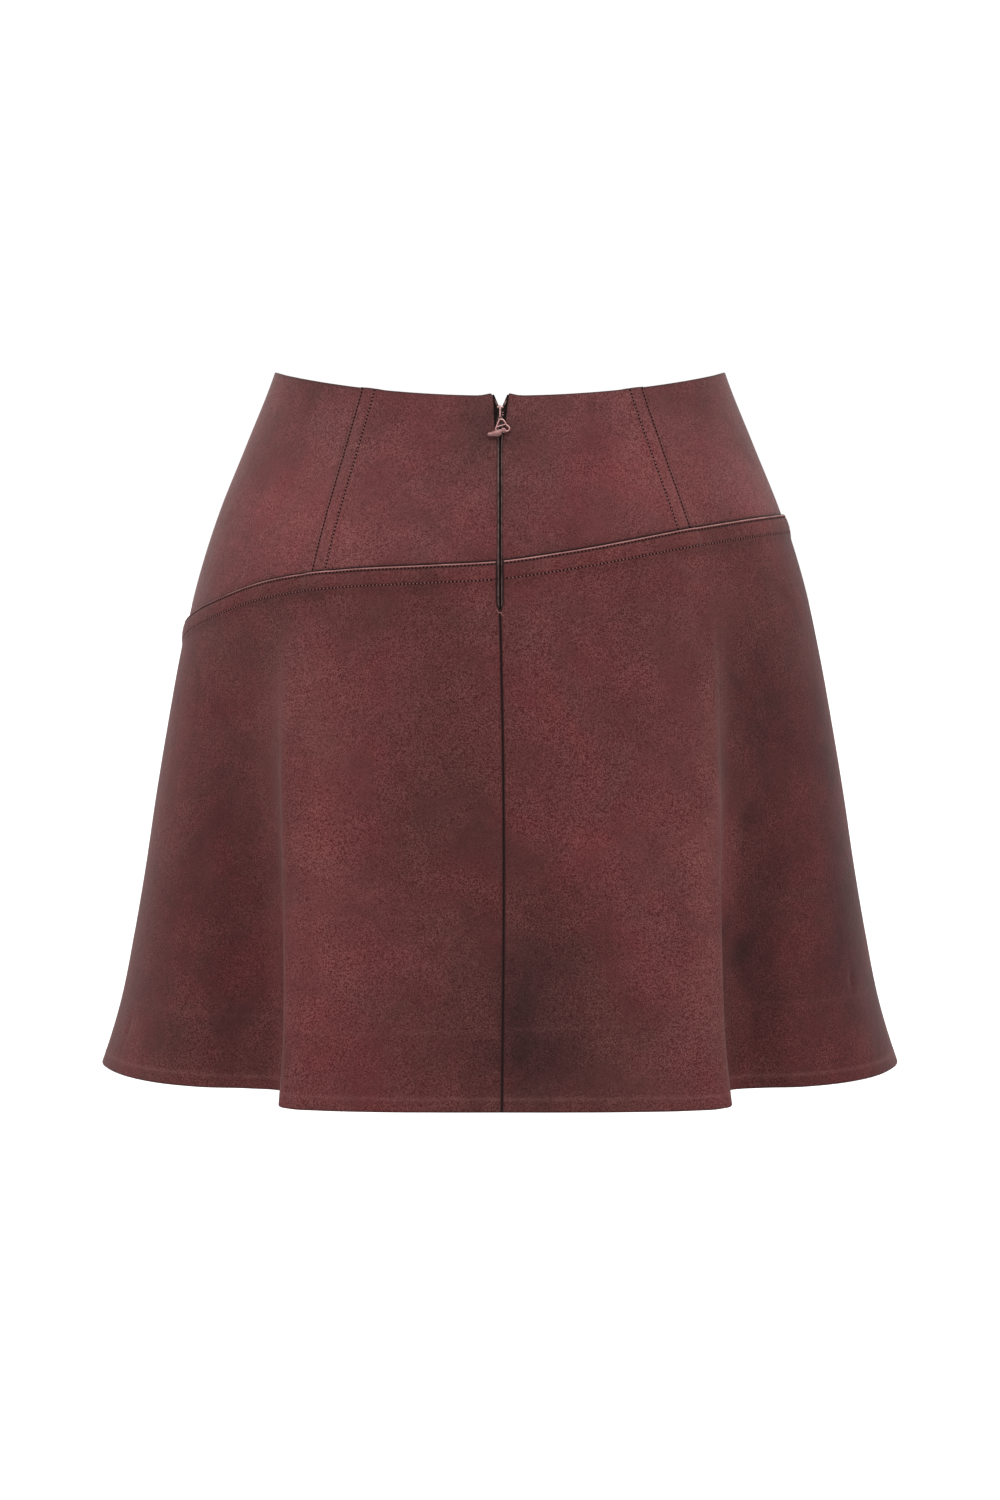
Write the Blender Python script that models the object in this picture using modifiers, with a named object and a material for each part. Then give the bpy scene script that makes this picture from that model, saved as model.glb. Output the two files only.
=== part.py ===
"""A leather mini skirt, filled out as it is worn: fitted yoke, slanting yoke seam, back zip, flared below.

Sizes are in millimetres and become metres when a mesh is made. +Z is up, the back with its zip faces -Y, and
the wearer's right side is +X. The origin is the centre of the waist opening, level with the waist edge at the
sides. A place on the cloth is given by its turn and its height. The turn goes round the body in degrees: 0 is
the centre back, 90 the right side, 180 the centre front and 270 the left side. The height is Z, so it is
negative downwards.
"""

import math

import bmesh
import bpy
import numpy as np
from mathutils import Matrix, Vector

MM = 0.001

# ---------------------------------------------------------------- driving sizes, in millimetres
CLOTH = 1.1            # thickness of the bonded leather
SEAM_GAP = 0.3         # air left between two pieces
HEM_HEIGHT = -394.5
HEM_TURN_UP = 43.0     # width of the hem allowance that is folded inside
WAIST_DIP_BACK = 12.4  # how far the waist edge drops from the sides to the centre back
WAIST_DIP_FRONT = 21.0
BAND = 9.0             # the skirt's top edge, turned under and stitched down over the yoke
BAND_CLOTH = 1.5       # two pressed layers
UNDERLAP = 8.0         # how far the yoke runs on beneath the band
SETTLE = 5.0           # length over which a raised edge comes down again
SKIRT_LIFT = 0.8       # the lower skirt's outer face above the yoke's, below the band
FOLD_GROWTH = 1.25     # 1 would let the folds open evenly from the seam to the hem
EDGE_ROUND = 0.9       # a folded edge rounds over in this length
BAND_ROUND = 0.5       # and its outer face drops by this much at the band
HEM_ROUND = 0.3        # and by this much at the hem
BAND_THIN = 0.4        # the band's fold is pressed thinner by this much
HEM_STEP = 1.2         # length over which the hem allowance adds its thickness

LAP = 8.8              # how far the side-back panel runs on beneath the centre-back one
LAP_CLEAR = 0.7        # the upper panel stays up for this much more
LAP_FOOT = -95.0       # the height that the second turn of LAP_EDGE belongs to
LAP_EDGE = {-1: (-36.4, -35.4), 1: (36.1, 40.3)}  # side: the edge's turn at the waist and at LAP_FOOT
LAP_SHADOW = 4.0       # outside the edge the band over it rises in this length

ZIP_SLOT = 1.7         # from the centre back to each panel's edge, beside the zip
ZIP_END = -127.5       # where the slot closes into the centre-back seam
SLOT_CLOSES = 6.0      # length over which it closes
NOTCH_DEPTH = 14.0     # the waist corners turn away from the zip over this depth
NOTCH_OPEN = 2.5       # and by this much more than the slot
NOTCH_CURVE = 1.3      # 1 would give the notch straight sides
SEAM_SWING = 1.9       # how far the centre-back seam swings to the right below the zip
TAPE_WIDTH = 11.5
TAPE_CLOTH = 0.9
TAPE_TAIL = 14.0       # tape below the end of the slot
TAPE_PARTED = 2.3      # how far each tape's folded edge has parted at the waist
TAPE_MEETS = 5.8       # and how far down the two edges meet
TAPE_HALF_GAP = 0.65   # the edge stands off this much while the slider's neck passes

# the form that the cloth hangs on
BODY_FORM = (
    # height, half_width, back_depth, front_depth
    (25.0, 119.5, 88.0, 90.0),
    (0.0, 126.9, 94.0, 95.0),
    (-40.0, 142.9, 105.5, 103.5),
    (-80.0, 159.2, 115.5, 110.5),
    (-120.0, 171.9, 121.5, 115.5),
    (-160.0, 180.9, 124.5, 119.0),
    (-200.0, 188.4, 126.0, 121.5),
    (-240.0, 195.3, 127.5, 124.0),
    (-280.0, 201.5, 129.0, 126.5),
    (-320.0, 208.6, 131.0, 129.0),
    (-360.0, 217.0, 133.5, 131.5),
    (HEM_HEIGHT, 227.9, 136.5, 134.0),
    (-420.0, 238.0, 139.0, 137.0),
)

# the yoke seam runs low on the wearer's left and high on the right
YOKE_SEAM = (
    # turn, height
    (0.0, -100.9),
    (12.0, -96.2),
    (38.0, -85.4),
    (55.0, -81.4),
    (90.0, -80.5),
    (120.0, -84.0),
    (150.0, -93.0),
    (180.0, -106.0),
    (210.0, -121.0),
    (240.0, -134.0),
    (270.0, -141.0),
    (293.0, -127.3),
    (313.0, -112.8),
    (329.0, -106.5),
    (348.0, -103.0),
)

# the hem seen from above: two deep folds behind and two in front
HEM_PLAN = (
    # name, turn, x, y
    ("centre back", 0.0, 1.0, -153.0),
    ("back panel", 13.0, 37.0, -153.0),
    ("back panel", 26.0, 73.0, -151.5),
    ("back shoulder, right", 34.5, 102.0, -148.0),
    ("back crest, right", 39.0, 118.5, -142.5),
    ("back crest, right", 41.7, 124.8, -133.5),
    ("back fold, right", 43.8, 120.5, -117.5),
    ("back fold, right", 46.2, 119.5, -101.0),
    ("back valley, right", 50.0, 127.0, -88.0),
    ("side back, right", 56.0, 144.0, -81.5),
    ("side back, right", 64.5, 169.0, -77.5),
    ("side back, right", 71.0, 191.0, -66.0),
    ("side back, right", 78.5, 212.0, -44.0),
    ("side, right", 84.5, 223.5, -20.0),
    ("side, right", 90.0, 227.9, 0.0),
    ("side front, right", 97.0, 225.0, 31.0),
    ("side front, right", 106.0, 211.0, 62.0),
    ("side front, right", 115.0, 189.0, 85.0),
    ("side front, right", 123.0, 162.0, 97.0),
    ("front valley, right", 130.0, 138.5, 100.5),
    ("front fold, right", 135.0, 124.5, 107.0),
    ("front fold, right", 139.0, 119.5, 118.0),
    ("front crest, right", 143.0, 117.0, 129.5),
    ("front shoulder, right", 148.0, 106.5, 137.5),
    ("front panel", 156.0, 84.0, 141.0),
    ("front panel", 167.5, 43.0, 142.0),
    ("centre front", 180.0, 2.0, 143.0),
    ("front panel", 193.0, -39.0, 143.0),
    ("front panel", 203.0, -71.0, 141.5),
    ("front shoulder, left", 208.5, -87.0, 137.0),
    ("front crest, left", 213.0, -96.5, 127.0),
    ("front fold, left", 217.0, -98.5, 112.5),
    ("front valley, left", 222.0, -106.0, 101.5),
    ("side front, left", 229.0, -127.0, 97.5),
    ("side front, left", 237.5, -154.0, 96.5),
    ("side front, left", 246.0, -182.0, 85.0),
    ("side front, left", 255.0, -206.0, 62.0),
    ("side front, left", 263.0, -222.0, 31.0),
    ("side, left", 270.0, -227.9, 0.0),
    ("side, left", 275.5, -223.5, -20.0),
    ("side back, left", 281.5, -212.0, -43.0),
    ("side back, left", 289.0, -191.0, -65.5),
    ("side back, left", 296.0, -167.0, -78.0),
    ("side back, left", 304.5, -140.0, -82.5),
    ("back valley, left", 310.0, -121.5, -89.0),
    ("back fold, left", 313.8, -113.5, -102.0),
    ("back fold, left", 316.2, -114.5, -117.5),
    ("back crest, left", 318.2, -119.0, -133.5),
    ("back crest, left", 321.0, -112.8, -142.5),
    ("back shoulder, left", 325.5, -96.5, -147.5),
    ("back panel", 334.0, -68.0, -151.5),
    ("back panel", 347.0, -34.0, -153.0),
)

# colours as linear RGB
LEATHER_COLOUR = (0.123, 0.041, 0.040)
TAPE_COLOUR = (0.030, 0.020, 0.022)
METAL_COLOUR = (0.250, 0.090, 0.085)


# ---------------------------------------------------------------- curves through the tables
def through(xs, ys, at):
    """The smooth curve through the points (xs, ys), read at the places in at."""
    xs = np.asarray(xs, float)
    ys = np.asarray(ys, float)
    at = np.asarray(at, float)
    step = np.diff(xs)
    rise = np.diff(ys) / step
    slope = np.empty_like(ys)
    slope[0] = rise[0]
    slope[-1] = rise[-1]
    slope[1:-1] = (rise[:-1] * step[1:] + rise[1:] * step[:-1]) / (step[1:] + step[:-1])
    i = np.clip(np.searchsorted(xs, at, side="right") - 1, 0, len(xs) - 2)
    h = step[i]
    t = (at - xs[i]) / h
    start = (2 * t**3 - 3 * t**2 + 1) * ys[i] + (t**3 - 2 * t**2 + t) * h * slope[i]
    end = (3 * t**2 - 2 * t**3) * ys[i + 1] + (t**3 - t**2) * h * slope[i + 1]
    return start + end


def form_size(column, height):
    """A column of the form's table at a height: 1 half width, 2 back depth, 3 front depth."""
    rows = sorted(BODY_FORM)
    return through([r[0] for r in rows], [r[column] for r in rows], height)


def round_the_body(turns, values, turn):
    """The closed smooth curve through values at turns, read at turn."""
    ahead = 4
    turns = list(turns)
    values = list(values)
    xs = [t - 360.0 for t in turns[-ahead:]] + turns + [t + 360.0 for t in turns[:ahead]]
    ys = values[-ahead:] + values + values[:ahead]
    return through(xs, ys, np.mod(turn, 360.0))


def smooth_step(x, low, high):
    """From 0 at low to 1 at high, level at both ends."""
    t = np.clip((np.asarray(x, float) - low) / (high - low), 0.0, 1.0)
    return t * t * (3.0 - 2.0 * t)


# ---------------------------------------------------------------- the cloth's surface
def waist_height(turn):
    c = np.cos(np.radians(turn))
    return -np.where(c > 0, WAIST_DIP_BACK, WAIST_DIP_FRONT) * c * c


def seam_height(turn):
    return round_the_body([r[0] for r in YOKE_SEAM], [r[1] for r in YOKE_SEAM], turn)


def form_point(turn, height):
    """X and Y on the form itself, which has no folds."""
    angle = np.radians(turn)
    c = np.cos(angle)
    depth = np.where(c > 0, form_size(2, height), form_size(3, height))
    return form_size(1, height) * np.sin(angle), -depth * c


def surface(turn, height):
    """The yoke's outer face and, below the yoke seam, the flared skirt's form with its folds."""
    turn, height = np.broadcast_arrays(np.asarray(turn, float), np.asarray(height, float))
    seam = seam_height(turn)
    share = np.clip((seam - height) / (seam - HEM_HEIGHT), 0.0, None) ** FOLD_GROWTH
    turns = [r[1] for r in HEM_PLAN]
    hem_x = round_the_body(turns, [r[2] for r in HEM_PLAN], turn)
    hem_y = round_the_body(turns, [r[3] for r in HEM_PLAN], turn)
    x, y = form_point(turn, height)
    flat_x, flat_y = form_point(turn, HEM_HEIGHT)
    return np.stack([x + (hem_x - flat_x) * share, y + (hem_y - flat_y) * share, height], axis=-1)


SMALL = 0.05  # the step, in degrees or millimetres, for a slope


def outward(turn, height):
    """Unit vectors that point out of the cloth."""
    along = surface(turn + SMALL, height) - surface(turn - SMALL, height)
    up = surface(turn, height + SMALL) - surface(turn, height - SMALL)
    normal = np.cross(along, up)
    return normal / np.linalg.norm(normal, axis=-1, keepdims=True)


def cloth_point(turn, height, raised):
    return surface(turn, height) + outward(turn, height) * np.asarray(raised, float)[..., None]


def degree_length(turn, height):
    """Millimetres of cloth in one degree, at turn and height."""
    step = surface(turn + SMALL, height) - surface(turn - SMALL, height)
    return np.linalg.norm(step, axis=-1) / (2 * SMALL)


def turn_beside(turn, height, distance):
    """The turn that lies distance millimetres further round from turn, at height."""
    return turn + distance / degree_length(turn, height)


def centre_back_turn(height):
    """The centre-back seam pulls a little to the right below the zip."""
    share = np.clip((ZIP_END - height) / (ZIP_END - HEM_HEIGHT), 0.0, 1.0)
    return np.degrees(SEAM_SWING * np.sin(np.pi * share) / form_size(1, height))


def lap_turn(side, height):
    """The edge of the centre-back yoke panel, which laps over the side-back one."""
    top, foot = LAP_EDGE[side]
    return top + (foot - top) * np.clip(height / LAP_FOOT, 0.0, 1.5)


def lap_rise(turn, height, shadow):
    """How far the lapped panel edges stand up, with a slope of length shadow outside the edge."""
    rise = np.zeros(np.broadcast(turn, height).shape)
    signed = np.mod(np.asarray(turn, float) + 180.0, 360.0) - 180.0
    for side in LAP_EDGE:
        edge = lap_turn(side, height)
        inside = (edge - signed) * side * degree_length(edge, height)
        if shadow > 0:
            up = smooth_step(inside, -shadow, 0.0)
        else:
            up = np.where(inside > -SEAM_GAP, 1.0, 0.0)
        down = 1.0 - smooth_step(inside, LAP + LAP_CLEAR, LAP + LAP_CLEAR + SETTLE)
        rise = np.maximum(rise, up * down * (CLOTH + SEAM_GAP))
    return rise


# ---------------------------------------------------------------- meshes
def new_material(name, colour, roughness, metallic=0.0):
    material = bpy.data.materials.new(name)
    material.use_nodes = True
    shader = material.node_tree.nodes["Principled BSDF"]
    shader.inputs["Base Color"].default_value = (*colour, 1.0)
    shader.inputs["Roughness"].default_value = roughness
    shader.inputs["Metallic"].default_value = metallic
    material.diffuse_color = (*colour, 1.0)
    return material


def link_mesh(name, build, material):
    """A new object in the part's collection from a bmesh, which is in millimetres."""
    bmesh.ops.recalc_face_normals(build, faces=build.faces)
    bmesh.ops.transform(build, matrix=Matrix.Scale(MM, 4), verts=build.verts)
    mesh = bpy.data.meshes.new(name)
    build.to_mesh(mesh)
    build.free()
    mesh.materials.append(material)
    thing = bpy.data.objects.new(name, mesh)
    PART.objects.link(thing)
    return thing


def closed_wall(name, outer, inner, material):
    """A piece of cloth: its outer and inner faces, each a grid of points, joined all round the edge."""
    rows, columns = outer.shape[:2]
    build = bmesh.new()
    grids = [[[build.verts.new(point) for point in row] for row in grid.tolist()] for grid in (outer, inner)]
    for r in range(rows - 1):
        for c in range(columns - 1):
            for face in grids:
                build.faces.new((face[r][c], face[r][c + 1], face[r + 1][c + 1], face[r + 1][c]))
    rim = [(0, c) for c in range(columns)]
    rim += [(r, columns - 1) for r in range(1, rows)]
    rim += [(rows - 1, c) for c in range(columns - 2, -1, -1)]
    rim += [(r, 0) for r in range(rows - 2, 0, -1)]
    for (r0, c0), (r1, c1) in zip(rim, rim[1:] + rim[:1]):
        build.faces.new((grids[0][r0][c0], grids[0][r1][c1], grids[1][r1][c1], grids[1][r0][c0]))
    return link_mesh(name, build, material)


def cloth_wall(name, turn, height, raised, thickness, material):
    """A cloth piece from grids of turn, height, how far its outer face is raised, and its thickness."""
    turn, height, raised, thickness = np.broadcast_arrays(turn, height, raised, thickness)
    outer = cloth_point(turn, height, raised)
    inner = cloth_point(turn, height, raised - thickness)
    return closed_wall(name, outer, inner, material)


# ---------------------------------------------------------------- the yoke
YOKE_ROWS = np.array([0.0, 0.03, 0.07, 0.12, 0.17, 0.28, 0.42, 0.57, 0.72, 0.87, 1.0])[:, None]


def slot_edge(height):
    """Half the width of the zip's slot, which opens into a notch at the waist and closes at its end."""
    drop = waist_height(0.0) - height
    notch = NOTCH_OPEN * np.clip(1.0 - drop / NOTCH_DEPTH, 0.0, 1.0) ** NOTCH_CURVE
    opened = smooth_step(height, ZIP_END, ZIP_END + SLOT_CLOSES)
    return SEAM_GAP / 2 + (ZIP_SLOT - SEAM_GAP / 2) * opened + notch


def yoke_heights(turn):
    top = waist_height(turn)
    return top + (seam_height(turn) - UNDERLAP - top) * YOKE_ROWS


def lap_line(side):
    """The lapped edge's turn and height on each row, found by a few rounds from its turn at the waist."""
    turn = np.full(YOKE_ROWS.shape, LAP_EDGE[side][0])
    for _ in range(4):
        turn = lap_turn(side, yoke_heights(turn))
    return turn, yoke_heights(turn)


def centre_back_yoke(side, name, material):
    """From the zip's slot to the lapped edge, which stands up over the side-back panel."""
    height = yoke_heights(0.0)
    zip_turn = side * np.degrees(slot_edge(height) / form_size(1, height))
    beside_zip = turn_beside(zip_turn, height, side * 2.0)
    edge, height = lap_line(side)
    settled = turn_beside(edge, height, -side * (LAP + LAP_CLEAR + SETTLE))
    slope = (LAP + LAP_CLEAR + SETTLE / 2, LAP + LAP_CLEAR, 1.0)
    columns = [zip_turn, beside_zip]
    columns += [beside_zip + (settled - beside_zip) * share for share in (0.25, 0.5, 0.75, 1.0)]
    columns += [turn_beside(edge, height, -side * distance) for distance in slope] + [edge]
    turn = np.concatenate(columns, axis=1)
    height = yoke_heights(turn)
    cloth_wall(name, turn, height, lap_rise(turn, height, 0.0), CLOTH, material)


def side_back_yoke(side, name, material):
    """From beneath the centre-back panel's edge to the side seam."""
    edge, height = lap_line(side)
    hidden = turn_beside(edge, height, -side * LAP)
    seam = turn_beside(side * 90.0, yoke_heights(side * 90.0), -side * SEAM_GAP / 2)
    columns = [hidden] + [edge + (seam - edge) * share for share in np.linspace(0.0, 1.0, 9)]
    turn = np.concatenate(columns, axis=1)
    cloth_wall(name, turn, yoke_heights(turn), 0.0, CLOTH, material)


def front_yoke(material):
    """One panel across the front, side seam to side seam."""
    height = yoke_heights(180.0)
    first = turn_beside(90.0, height, SEAM_GAP / 2)
    last = turn_beside(270.0, height, -SEAM_GAP / 2)
    turn = np.concatenate([first + (last - first) * share for share in np.linspace(0.0, 1.0, 25)], axis=1)
    cloth_wall("yoke_front", turn, yoke_heights(turn), 0.0, CLOTH, material)


# ---------------------------------------------------------------- the lower skirt
COLUMN_LENGTH = 11.0   # one step round the hem, where it is straight
COLUMN_BEND = 0.22     # or one step for this much turning, in radians
LAP_COLUMNS = (-4.5, -2.5, -0.5, LAP + LAP_CLEAR, LAP + LAP_CLEAR + SETTLE / 2, LAP + LAP_CLEAR + SETTLE)
SKIRT_ROWS = (0.027, 0.052, 0.13, 0.25, 0.39, 0.53, 0.67, 0.81, 0.92)  # shares of the way from band to hem


def hem_columns(first, last, count):
    """Turns between two seams, closer together where the hem bends and where the yoke's lap passes above."""
    turn = np.linspace(first, last, 721)
    step = np.diff(surface(turn, HEM_HEIGHT)[:, :2], axis=0)
    heading = np.unwrap(np.arctan2(step[:, 1], step[:, 0]))
    cost = np.hypot(step[:, 0], step[:, 1]) / COLUMN_LENGTH + np.abs(np.gradient(heading)) / COLUMN_BEND
    reached = np.concatenate([[0.0], np.cumsum(cost)])
    even = np.interp(np.linspace(0.0, reached[-1], count), reached, turn)
    laps = []
    for side in LAP_EDGE:
        edge = lap_turn(side, seam_height(0.0))
        laps += [float(turn_beside(edge, seam_height(0.0), -side * step)) for step in LAP_COLUMNS]
    laps = np.array([lap for lap in laps if first < lap < last])
    if not len(laps):
        return even
    apart = np.abs(even[:, None] - laps).min(axis=1) > 0.8
    apart[[0, -1]] = True
    return np.sort(np.concatenate([even[apart], laps]))


def skirt_rows():
    """Rows from the folded top edge to the hem, as pairs: a row is at the seam height * share + level."""
    band = [0.0, 1.0, BAND - 0.4, BAND + 1.6, BAND + SETTLE]
    hem = [HEM_TURN_UP + HEM_STEP, HEM_TURN_UP, HEM_TURN_UP / 2, 1.0, 0.0]
    low = HEM_HEIGHT + hem[0]
    rows = [(1.0, -drop) for drop in band]
    rows += [(1.0 - down, low * down - band[-1] * (1.0 - down)) for down in SKIRT_ROWS]
    rows += [(0.0, HEM_HEIGHT + up) for up in hem]
    return np.array(rows)


def skirt_heights(turn):
    share, level = skirt_rows().T
    return seam_height(turn) * share[:, None] + level[:, None]


def skirt_panel(name, first, last, count, material):
    """A flared panel. first and last are functions of height that give the turn of its two side edges."""
    centre = hem_columns(float(first(HEM_HEIGHT)), float(last(HEM_HEIGHT)), count)
    share = (centre - centre[0]) / (centre[-1] - centre[0])
    start = first(skirt_heights(centre[:1]))
    end = last(skirt_heights(centre[-1:]))
    turn = start + (end - start) * share
    height = skirt_heights(turn)
    drop = seam_height(turn) - height
    band_fold = 1.0 - smooth_step(drop, 0.0, EDGE_ROUND)
    below_band = smooth_step(drop, BAND - 0.5, BAND + SETTLE)
    hem_fold = 1.0 - smooth_step(height - HEM_HEIGHT, 0.0, EDGE_ROUND)
    turned_up = 1.0 - smooth_step(height - HEM_HEIGHT, HEM_TURN_UP, HEM_TURN_UP + HEM_STEP)

    band_top = SEAM_GAP + BAND_CLOTH
    raised = band_top + (SKIRT_LIFT - band_top) * below_band - BAND_ROUND * band_fold - HEM_ROUND * hem_fold
    raised = raised + lap_rise(turn, height, LAP_SHADOW) * (1.0 - below_band)
    thickness = BAND_CLOTH + (CLOTH - BAND_CLOTH) * below_band - BAND_THIN * band_fold + CLOTH * turned_up
    cloth_wall(name, turn, height, raised, thickness, material)


def centre_edge(side):
    """The turn of a back panel's edge along the zip's slot and the seam below it."""

    def turn(height):
        return centre_back_turn(height) + side * np.degrees(slot_edge(height) / form_size(1, height))

    return turn


def side_edge(seam_turn, side):
    """The turn of a panel's edge at a side seam, half a gap on its own side."""

    def turn(height):
        return turn_beside(np.full(np.shape(height), seam_turn), height, side * SEAM_GAP / 2)

    return turn


# ---------------------------------------------------------------- the zip
WAIST_BACK = float(waist_height(0.0))
SEAM_BACK = float(seam_height(0.0))
SLIDER_TOP = WAIST_BACK - 5.4    # heights on the cloth
PIVOT_HEIGHT = WAIST_BACK - 11.6
SLIDER_FOOT = WAIST_BACK - 13.2
TAPE_DROPS = (0.6, 3.0, 5.2, 6.6, 10.1, 14.1, 16.6, 30.6, 50.6, 70.6, 84.6, 89.1, 94.6, 98.6, 103.6, 109.6)


def zip_tape(side, name, material):
    """A tape under a panel's edge, with its folded edge standing up in the slot."""
    height = np.array([WAIST_BACK - drop for drop in TAPE_DROPS] + [ZIP_END - TAPE_TAIL])[:, None]
    drop = WAIST_BACK - height
    parted = TAPE_PARTED * np.clip(1.0 - (drop - TAPE_DROPS[0]) / (TAPE_MEETS - TAPE_DROPS[0]), 0.0, 1.0)
    held_open = smooth_step(height, SLIDER_FOOT - 3.4, SLIDER_FOOT - 1.4)
    fold = SEAM_GAP / 2 + (TAPE_HALF_GAP + parted) * held_open
    closed = height < ZIP_END + SLOT_CLOSES
    root = np.where(closed, fold + 0.25, np.maximum(slot_edge(height) - 0.5, fold + 0.2))
    flat = np.full(height.shape, -(CLOTH + SEAM_GAP))
    standing = -0.5 + 0.8 * smooth_step(SEAM_BACK - height, 0.0, 3.0)
    ridge = np.where(closed, flat, standing)
    outer = []
    inner = []
    for distance, raised in ((fold, ridge), (root, ridge), (root + 0.1, flat), (TAPE_WIDTH + 0 * fold, flat)):
        turn = centre_back_turn(height) + side * np.degrees(distance / form_size(1, height))
        outer.append(cloth_point(turn, height, raised)[:, 0])
        inner.append(cloth_point(turn, height, flat - TAPE_CLOTH)[:, 0])
    closed_wall(name, np.stack(outer, axis=1), np.stack(inner, axis=1), material)


def zip_frame(height):
    """A matrix whose X is across, Y up along the cloth and Z out of it, at the centre back."""
    out = Vector(outward(np.array(0.0), np.array(float(height))))
    across = Vector((1.0, 0.0, 0.0))
    matrix = Matrix((across, out.cross(across), out)).transposed().to_4x4()
    matrix.translation = Vector(surface(0.0, height))
    return matrix


def solid_box(low, high):
    build = bmesh.new()
    middle = (Vector(low) + Vector(high)) / 2
    size = Vector(high) - Vector(low)
    bmesh.ops.create_cube(build, size=1.0, matrix=Matrix.Translation(middle) @ Matrix.Diagonal((*size, 1.0)))
    return build


def solid_disc(radius, low, high, segments=20, centre=(0.0, 0.0)):
    """A cylinder along Z."""
    build = bmesh.new()
    bmesh.ops.create_cone(
        build,
        cap_ends=True,
        segments=segments,
        radius1=radius,
        radius2=radius,
        depth=high - low,
        matrix=Matrix.Translation((*centre, (low + high) / 2)),
    )
    return build


def placed(thing, frame):
    """The object with its origin and axes on frame, which is in millimetres."""
    matrix = frame.copy()
    matrix.translation = frame.translation * MM
    thing.matrix_world = matrix
    return thing


def cutter(name, build, frame):
    thing = placed(link_mesh(name, build, METAL), frame)
    PART.objects.unlink(thing)
    CUTTERS.objects.link(thing)
    thing.hide_render = True
    thing.display_type = "WIRE"
    return thing


def combine(thing, other, operation):
    modifier = thing.modifiers.new(operation.lower() + " " + other.name, "BOOLEAN")
    modifier.operation = operation
    modifier.solver = "EXACT"
    modifier.object = other


def round_edges(thing, width, segments=2):
    modifier = thing.modifiers.new("rounded edges", "BEVEL")
    modifier.width = width * MM
    modifier.segments = segments
    modifier.limit_method = "ANGLE"
    modifier.angle_limit = math.radians(40.0)


PULL_OUT = 1.75        # the pull's plane above the cloth
CROWN_HALF = 0.5       # half the crown's width across
PLATE_HALF = 2.7       # half the width of the slider's plate, behind the tapes
PLATE_THICK = 1.7
WIRE = 0.45            # radius of the link's wire
EYE = 1.4              # radius of the link's eye
EYE_HALF = 0.37        # half its thickness
PIN = 0.5              # radius of the pin in the eye
PIN_PLACE = (1.9, -8.0)  # the pin, across and along the cloth from the pivot
DROP_ANGLE = 190.0     # the way that the drop points, seen from outside
DROP_LENGTH = 8.6
DROP_RADIUS = 1.35
CHEEK = 1.25           # radius of the drop's forked head


def slider(material):
    """Behind the tapes a plate, through the slot a neck, and outside a crown with a hole for the link."""
    frame = zip_frame(PIVOT_HEIGHT)
    up = SLIDER_TOP - PIVOT_HEIGHT
    down = SLIDER_FOOT - PIVOT_HEIGHT
    back = -(CLOTH + SEAM_GAP + TAPE_CLOTH + SEAM_GAP)
    behind = solid_box((-PLATE_HALF, down - 0.6, back - PLATE_THICK), (PLATE_HALF, up + 0.4, back))
    plate = placed(link_mesh("zip_slider", behind, material), frame)
    round_edges(plate, 0.5)
    room = WIRE + SEAM_GAP
    crown_top = PULL_OUT + room + 0.85
    crown = cutter("crown", solid_box((-CROWN_HALF, down, back - 0.6), (CROWN_HALF, up, crown_top)), frame)
    round_edges(crown, 0.3)
    through_crown = solid_box((-3.0, -room, PULL_OUT - room), (3.0, up - 1.0, PULL_OUT + room))
    hole = cutter("crown hole", through_crown, frame)
    combine(plate, crown, "UNION")
    combine(plate, hole, "DIFFERENCE")


LINK_LOOP = (
    # across, along: the wire's way round, from the top bar down the right and back up the left
    (-1.25, 0.0),
    (1.25, 0.0),
    (3.1, -2.7),
    (5.0, -5.2),
    (4.5, -6.2),
    (2.7, -6.7),
    (1.1, -6.7),
    (-2.0, -4.9),
    (-1.5, -2.6),
)
CROSSBAR = ((-1.7, -4.3), (3.2, -2.9))


def wire(name, points, closed):
    """A tube of the link's wire through points in the pull's plane, as a bmesh."""
    curve = bpy.data.curves.new(name, "CURVE")
    curve.dimensions = "3D"
    curve.bevel_depth = WIRE
    curve.bevel_resolution = 2
    curve.use_fill_caps = not closed
    spline = curve.splines.new("POLY")
    spline.points.add(len(points) - 1)
    spline.use_cyclic_u = closed
    for point, (across, along) in zip(spline.points, points):
        point.co = (across, along, 0.0, 1.0)
    loose = bpy.data.objects.new(name + " path", curve)
    PART.objects.link(loose)
    graph = bpy.context.evaluated_depsgraph_get()
    mesh = bpy.data.meshes.new_from_object(loose.evaluated_get(graph))
    build = bmesh.new()
    build.from_mesh(mesh)
    bmesh.ops.remove_doubles(build, verts=build.verts, dist=0.001)
    bpy.data.objects.remove(loose)
    bpy.data.curves.remove(curve)
    bpy.data.meshes.remove(mesh)
    return build


def rounded_path(points, share):
    """A closed path whose corners are cut by two points each."""
    path = []
    for i, here in enumerate(points):
        before = points[i - 1]
        after = points[(i + 1) % len(points)]
        for other in (before, after):
            path.append(tuple(here[k] + (other[k] - here[k]) * share for k in (0, 1)))
    return path


def pull_link(material):
    """A bent wire loop with a crossbar, and a flat eye for the drop's pin. Its origin is on the top bar."""
    pivot = zip_frame(PIVOT_HEIGHT) @ Matrix.Translation((0.0, 0.0, PULL_OUT))
    link = placed(link_mesh("pull_link", wire("loop", rounded_path(LINK_LOOP, 0.22), True), material), pivot)
    bar = cutter("crossbar", wire("bar", CROSSBAR, False), pivot)
    eye = cutter("eye", solid_disc(EYE, -EYE_HALF, EYE_HALF, centre=PIN_PLACE), pivot)
    hole = cutter("eye hole", solid_disc(PIN + SEAM_GAP, -3.0, 3.0, 16, PIN_PLACE), pivot)
    combine(link, bar, "UNION")
    combine(link, eye, "UNION")
    combine(link, hole, "DIFFERENCE")


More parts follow.
